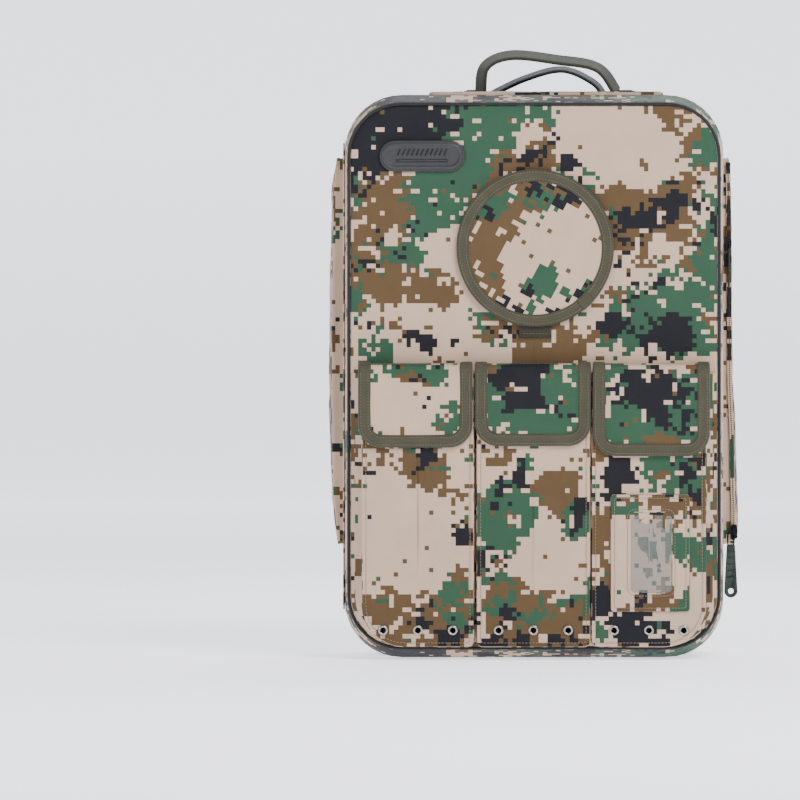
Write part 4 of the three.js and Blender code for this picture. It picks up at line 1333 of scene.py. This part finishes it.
def zip_pull(name, normal, slider_node):
    """A pull: a wire loop through the slider and a moulded tapered tab with a hole near its end."""
    node_box = box(name)
    axis = 0 if abs(normal.x) > 0.5 else 1
    across = BACK if axis == 0 else Vector((1, 0, 0))
    (a0, a1), (n0, n1) = node_box[1 - axis], node_box[axis]
    z0, z1 = node_box[2]
    middle = (a0 + a1) / 2
    depth = (n0 + n1) / 2
    width = a1 - a0

    def at(a, z, n=0.0):
        point = across * a + UP * z
        point[axis] = depth + n
        return point

    long_pull = z1 - z0 > 40
    wire_low = z1 - (14 if long_pull else 7)
    half = 2.6 if long_pull else 2.0
    widest = wire_low + 4 * (z1 - wire_low) / 7
    bow = [(-1, wire_low), (-1.05, widest), (-0.8, z1 - 2), (0, z1 - 0.7),
           (0.8, z1 - 2), (1.05, widest), (1, wire_low)]
    wire = smooth_path([at(middle + half * share, z) for share, z in bow], 6)
    sweep(wire, round_section(0.7), Vector(normal)).make(f"{name}_wire", BLACK_METAL, name, "slider_metal")
    top, low = wire_low + 1.5, z0 + 0.3
    top_half, low_half = width * 0.3, width * 0.48
    length = top - low
    edge = []
    for k in range(9):
        t = math.pi * k / 8
        edge.append((top_half * math.cos(t), top - 1.5 + 1.5 * math.sin(t)))
    for k in range(1, 12):
        t = k / 12
        edge.append((-(top_half + (low_half - top_half) * t), top - 1.5 - (length - 1.5 - low_half) * t))
    for k in range(13):
        t = math.pi + math.pi * k / 12
        edge.append((low_half * math.cos(t), low + low_half + low_half * math.sin(t)))
    for k in range(1, 12):
        t = 1 - k / 12
        edge.append((top_half + (low_half - top_half) * t, top - 1.5 - (length - 1.5 - low_half) * t))
    centre_z = (top + low) / 2
    half_depth = (n1 - n0) / 2
    loops = []
    for shrink, out in ((0.7, 1), (0.25, 1), (0.0, 0.5), (0.0, -0.5), (0.25, -1), (0.7, -1)):
        narrow, short = 1 - shrink / max(low_half, 1), 1 - shrink / (length / 2)
        loops.append([at(middle + a * narrow, centre_z + (z - centre_z) * short, half_depth * out)
                      for a, z in edge])
    tab = Skin().loops(loops, cap_start=True, cap_end=True)
    ridges = Skin()
    for face in (-1, 1):
        for k in range(5 if long_pull else 3):
            z = top - 6 - k * (length - 18) / 5 if long_pull else top - 4 - k * 2.2
            reach = (top_half + (low_half - top_half) * (top - z) / length) * 0.6
            line = [at(middle - reach + 2 * reach * t / 4, z, face * half_depth) for t in range(5)]
            ridges.add(sweep(line, round_section(0.45, 6), Vector(normal)))
    obj = tab.make(f"{name}_tab", GRIP, name, "pull_green")
    fix_outward(obj)
    drill(obj, at(middle, low + low_half), low_half * 0.42, 20, axis, 20)
    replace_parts(obj, name)
    ridges.make(f"{name}_ridges", GRIP, name, "pull_green")
    finish_metal(slider_node, BLACK_METAL)


def fix_outward(obj):
    """Turns a closed piece's faces outwards."""
    middle = sum((v.co for v in obj.data.vertices), Vector()) / len(obj.data.vertices)
    total = sum((p.center - middle).dot(p.normal) * p.area for p in obj.data.polygons)
    if total < 0:
        obj.data.flip_normals()


def finish_metal(node, material):
    """Gives a hard CAD piece its material."""
    obj = frame["nodes"][node]
    obj.data.materials.clear()
    obj.data.materials.append(material)


top_panel()
handle("handle_front", [(-47, 492), (-43, 516), (-20, 526), (20, 522), (56, 515), (74, 492)], OLIVE, THREAD,
       math.radians(20))
# The rear handle's black cloth and black thread are painted shade: it is drawn dark for the shade it lies in
# behind the front handle.
handle("handle_rear", [(-42, 492), (-8, 508), (25, 516), (52, 505), (63, 492)], BLACK_CLOTH,
       BLACK_THREAD, math.radians(12))
for side in ("left", "right"):
    side_pouch(side)
for name, normal in (("main_upper", (1, 0, 0)), ("main_lower", (1, 0, 0)), ("side_right", (0, -1, 0)),
                     ("side_left", (0, 1, 0))):
    zip_pull(f"{name}_pull", Vector(normal), f"{name}_slider")


# ---- back panel, straps and buckles ----

def cushion(name, bounds, corner, y0, y1, body, slot, cap, channels=(), pressure=4.0, node=None):
    """A foam pad against the back: stuffed as cloth, then drawn in along its quilting lines."""
    inner = [v + s * 2.5 for v, s in zip(bounds, (1, -1, 1, -1))]
    profile = [(6, y0 + 0.8), (1, y0 + 1.5), (0, y0 + 3), (0, y1 - 4), (1.5, y1 - 2.2), (5, y1 - 1.4)]
    loops = [at_depth(inset_outline(inner, corner, inset, arc=6, edges=(14, 24)), y) for inset, y in profile]
    skin = Skin().loops([loop[::-1] for loop in loops], cap_start=True, cap_end=True)
    obj = skin.make(name, SPACER, body, slot)
    fix_outward(obj)
    puff(obj, pressure, cap)
    for vertex in obj.data.vertices:
        x, y, z = vertex.co / MM
        if y < (y0 + y1) / 2:
            vertex.co.y = max(y, y0 + 0.2) * MM
            continue
        dip = 0.0
        for direction, place, size in channels:
            offset = (x if direction == "x" else z) - place
            dip = max(dip, math.exp(-(offset / size) ** 2))
        limit = y1 + 3.5
        vertex.co.y = (min(y, limit) - dip * 7.5) * MM
    obj.data.update()
    if node:
        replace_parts(obj, node)
    return obj


def back_panel():
    """The padded back panel with its channels and bound edge, and the yoke the straps hang from."""
    (x0, x1), (y0, y1), (z0, z1) = box("back_pad")
    bounds, corner, counts = (x0, x1, z0, z1), 30, dict(arc=8, edges=(24, 44))
    channels = [("x", 0, 9), ("z", 150, 7), ("z", 255, 7), ("z", 350, 7)]
    cushion("back_pad_foam", bounds, corner, y0, y1, "pack", "spacer_mesh", 8, channels, node="back_pad")
    ring = at_depth(inset_outline(bounds, corner, 2.5, **counts), y0 + 2.6)
    ring = sweep(ring, flat_section(9, 3.2), BACK, closed=True)
    ring.make("back_pad_binding", BLACK_CLOTH, "pack", "spacer_mesh")
    line = at_depth(inset_outline(bounds, corner, 4.4, **counts), y0 + 4.1)
    stitches("back_pad_stitches", line, BACK, "pack", BLACK_THREAD, closed=True)
    (x0, x1), (y0, y1), (z0, z1) = box("strap_yoke")
    cushion("strap_yoke_foam", (x0, x1, z0, z1), 12, y0, y1, "pack", "spacer_mesh", 5, [], node="strap_yoke")
    for k, height in enumerate((z0 + 11, z1 - 9)):
        line = straight((x0 + 8, y1 - 0.4, height), (x1 - 8, y1 - 0.4, height), 30)
        tape = sweep(line, flat_section(12, 1.6), BACK)
        tape.make(f"strap_yoke_tape_{k + 1}", BLACK_CLOTH, "pack", "spacer_mesh")


def strap(side):
    """A shoulder strap: a tapering foam pad, its bound edges, a webbing down its middle and its lower web."""
    sign = 1 if side == "right" else -1
    body = f"strap_{side}"
    _, (y0, y1), (z0, z1) = box(f"strap_pad_{side}")
    top = Vector((sign * 45, 0, z1 - 3.4))
    line = smooth_path([top, (sign * 52, 0, 370), (sign * 78, 0, 250), (sign * 95, 0, z0 + 4.3)], 14)
    middle = (y0 + y1) / 2
    top_width, taper, webbing_width = 62, 20, 25
    widths = [top_width - taper * k / (len(line) - 1) for k in range(len(line))]
    sideways = [along.cross(BACK).normalized() for along in tangents(line)]
    loops = []
    for k, (p, across) in enumerate(zip(line, sideways)):
        end = min(1.0, 0.25 + 0.25 * min(k, len(line) - 1 - k))
        half, thick = widths[k] / 2 * (0.86 + 0.14 * end), (y1 - y0) / 2 * (0.62 + 0.38 * end)
        section = [(math.cos(t), math.sin(t)) for t in (2 * math.pi * i / 28 for i in range(28))]
        loops.append([Vector((p.x, middle, p.z)) + across * half * math.copysign(abs(c) ** 0.6, c)
                      + BACK * thick * math.copysign(abs(s) ** 0.75, s) for c, s in section])
    foam = Skin().loops(loops, cap_start=True, cap_end=True)
    foam = foam.make(f"strap_foam_{side}", SPACER, body, "spacer_mesh")
    fix_outward(foam)
    puff(foam, 3.0, 3.0)
    for vertex in foam.data.vertices:
        x, y, z = vertex.co / MM
        y = max(y0 - 1.5, min(y1 + 1.5, y))
        vertex.co.y = y * MM
    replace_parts(foam, f"strap_pad_{side}")
    for k, edge in enumerate((-1, 1)):
        border = [Vector((p.x, middle, p.z)) + across * edge * (width / 2 - 0.6)
                  for p, across, width in zip(line, sideways, widths)]
        binding = sweep(border, [(a * 0.9, b) for a, b in round_section(2.6, 10)], BACK)
        binding.make(f"strap_binding_{side}_{k + 1}", BLACK_CLOTH, body, "spacer_mesh")
    run = [Vector((p.x, y1 + 1.3, p.z)) for p in line[3:]]
    webbing = sweep(run, flat_section(webbing_width, 1.5), BACK)
    webbing.make(f"strap_webbing_{side}", OLIVE, body, "olive_webbing")
    for k, edge in enumerate((-1, 1)):
        seam = [p + Vector((edge * 9.5, 0.8, 0)) for p in run]
        stitches(f"strap_webbing_stitches_{side}_{k + 1}", seam, BACK, body, THREAD, 3.2, False, 0.5)
    finish_metal(f"ladder_lock_{side}", PLASTIC)
    low, high = Vector((sign * 146, 77.8, 42)), Vector((sign * 103, 90.5, 127))
    web = [low.lerp(high, k / 30) + Vector((0, 1.2 * math.sin(math.pi * k / 30), 0)) for k in range(25)]
    (lock_x0, lock_x1), (lock_y0, lock_y1), (lock_z0, lock_z1) = box(f"ladder_lock_{side}")
    lock_x, lock_y, lock_z = (lock_x0 + lock_x1) / 2, (lock_y0 + lock_y1) / 2, (lock_z0 + lock_z1) / 2
    under, over = lock_y0 - 1.1, lock_y1 + 1.2
    threaded = [(-8, under + 0.1), (-4, lock_y), (0, over), (4, lock_y), (8, under)]
    bend = [web[-1], Vector((lock_x + sign * 6.8, 89.2, lock_z - 22)),
            Vector((lock_x + sign * 2.0, under + 0.1, lock_z - 14.5))]
    bend += [Vector((lock_x, y, lock_z + rise)) for rise, y in threaded]
    lower = sweep(web + smooth_path(bend, 7)[1:], flat_section(webbing_width, 2), BACK)
    lower = lower.make(f"lower_web_{side}", OLIVE, "pack", "olive_webbing")
    unparent(lower)
    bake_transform(lower)
    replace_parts(lower, f"lower_webbing_{side}")
    wing = [(112, 14), (148, 20), (156, 58), (130, 62)]
    ring = even_path([Vector((sign * x, 0, z)) for x, z in wing], 3.0, True)
    centre = sum(ring, Vector()) / len(ring)
    loops = []
    ay0, ay1 = box(f"anchor_{side}")[1]
    profile = [(0, ay0), (0, ay1 - 0.8), (0.03, ay1 - 0.1), (0.1, ay1), (0.4, ay1 + 0.6), (0.95, ay1 + 0.6)]
    for shrink, y in profile:
        loops.append([Vector((centre.x + (p.x - centre.x) * (1 - shrink), y,
                              centre.z + (p.z - centre.z) * (1 - shrink))) for p in ring])
    anchor = Skin().loops(loops, cap_end=True)
    anchor = anchor.make(f"anchor_{side}_cloth", BLACK_CLOTH, "pack", "camo_fabric")
    fix_facing(anchor, BACK)
    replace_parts(anchor, f"anchor_{side}")
    seam_share = 0.86
    seam = [centre + (p - centre) * seam_share for p in ring]
    seam = [Vector((p.x, ay1 + 0.2, p.z)) for p in seam]
    stitches(f"anchor_{side}_stitches", seam, BACK, "pack", THREAD, 2.8, True, 0.5)
    chest = f"sternum_{side}"
    (sx0, sx1), (sy0, sy1), (sz0, sz1) = box(f"sternum_webbing_{side}")
    lift = 1.9  # over the strap's own webbing and its stitches
    chest_x, chest_y = (sx0 + sx1) / 2, (sy0 + sy1) / 2 + lift
    drop = straight((chest_x, chest_y, sz1), (chest_x, chest_y, sz0), 16)
    web = sweep(drop, flat_section(sx1 - sx0, sy1 - sy0), BACK)
    web = web.make(f"sternum_web_{side}", OLIVE, chest, "olive_webbing")
    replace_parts(web, f"sternum_webbing_{side}")
    finish_metal(f"sternum_buckle_{side}", PLASTIC)


back_panel()
for side in ("left", "right"):
    strap(side)
finish_metal("frame_sheet", PLASTIC)


# ---- setting, light and camera ----

def setting():
    """A pale seamless floor and backdrop, a soft key, a fill and a rim light."""
    size, depth, curve = 9000, 6400, 700
    turns = [math.pi / 2 * k / 10 for k in range(1, 11)]
    rows = [(-size, 0), (depth - curve, 0)]
    rows += [(depth - curve + curve * math.sin(t), curve - curve * math.cos(t)) for t in turns]
    rows.append((depth, size))
    skin = Skin().loops([[Vector((x, y, z)) for x in (-size, size)] for y, z in rows], closed=False)
    mesh = bpy.data.meshes.new("backdrop")
    mesh.from_pydata([tuple(c * MM for c in p) for p in skin.points], [], skin.faces)
    mesh.polygons.foreach_set("use_smooth", [True] * len(mesh.polygons))
    backdrop = bpy.data.objects.new("backdrop", mesh)
    bpy.context.scene.collection.objects.link(backdrop)
    mesh.materials.append(Nodes("backdrop_paper", 0.9).material)
    paper = mesh.materials[0].node_tree.nodes["Principled BSDF"]
    paper.inputs["Base Color"].default_value = linear(248, 248, 250)
    paper.inputs["Emission Color"].default_value = linear(244, 245, 255)
    paper.inputs["Emission Strength"].default_value = 1.2
    world = bpy.data.worlds.new("soft_room")
    bpy.context.scene.world = world
    world.use_nodes = True
    world.node_tree.nodes["Background"].inputs["Color"].default_value = linear(226, 230, 236)
    world.node_tree.nodes["Background"].inputs["Strength"].default_value = 0.55
    lamps = [("key", (0.9, -1.6, 1.7), 1.0, 46), ("fill", (-1.5, -1.5, 0.9), 1.4, 12),
             ("rim", (0.3, 1.4, 1.6), 1.2, 16)]
    for name, place, width, power in lamps:
        lamp = bpy.data.lights.new(name, "AREA")
        lamp.shape = "DISK"
        lamp.size = width
        lamp.energy = power
        obj = bpy.data.objects.new(name, lamp)
        bpy.context.scene.collection.objects.link(obj)
        obj.location = place
        obj.rotation_euler = (Vector((0, 0, 0.25)) - Vector(place)).to_track_quat("-Z", "Y").to_euler()


def camera():
    """A long lens square to the front, shifted to the object's place in the view."""
    lens = bpy.data.cameras.new("camera")
    lens.lens = 250
    lens.sensor_width = 36
    lens.shift_x = -0.1675
    lens.shift_y = -0.03
    obj = bpy.data.objects.new("camera", lens)
    bpy.context.scene.collection.objects.link(obj)
    obj.location = (0, -4.88, 0.245)
    obj.rotation_euler = (math.pi / 2, 0, 0)
    bpy.context.scene.camera = obj


setting()
camera()
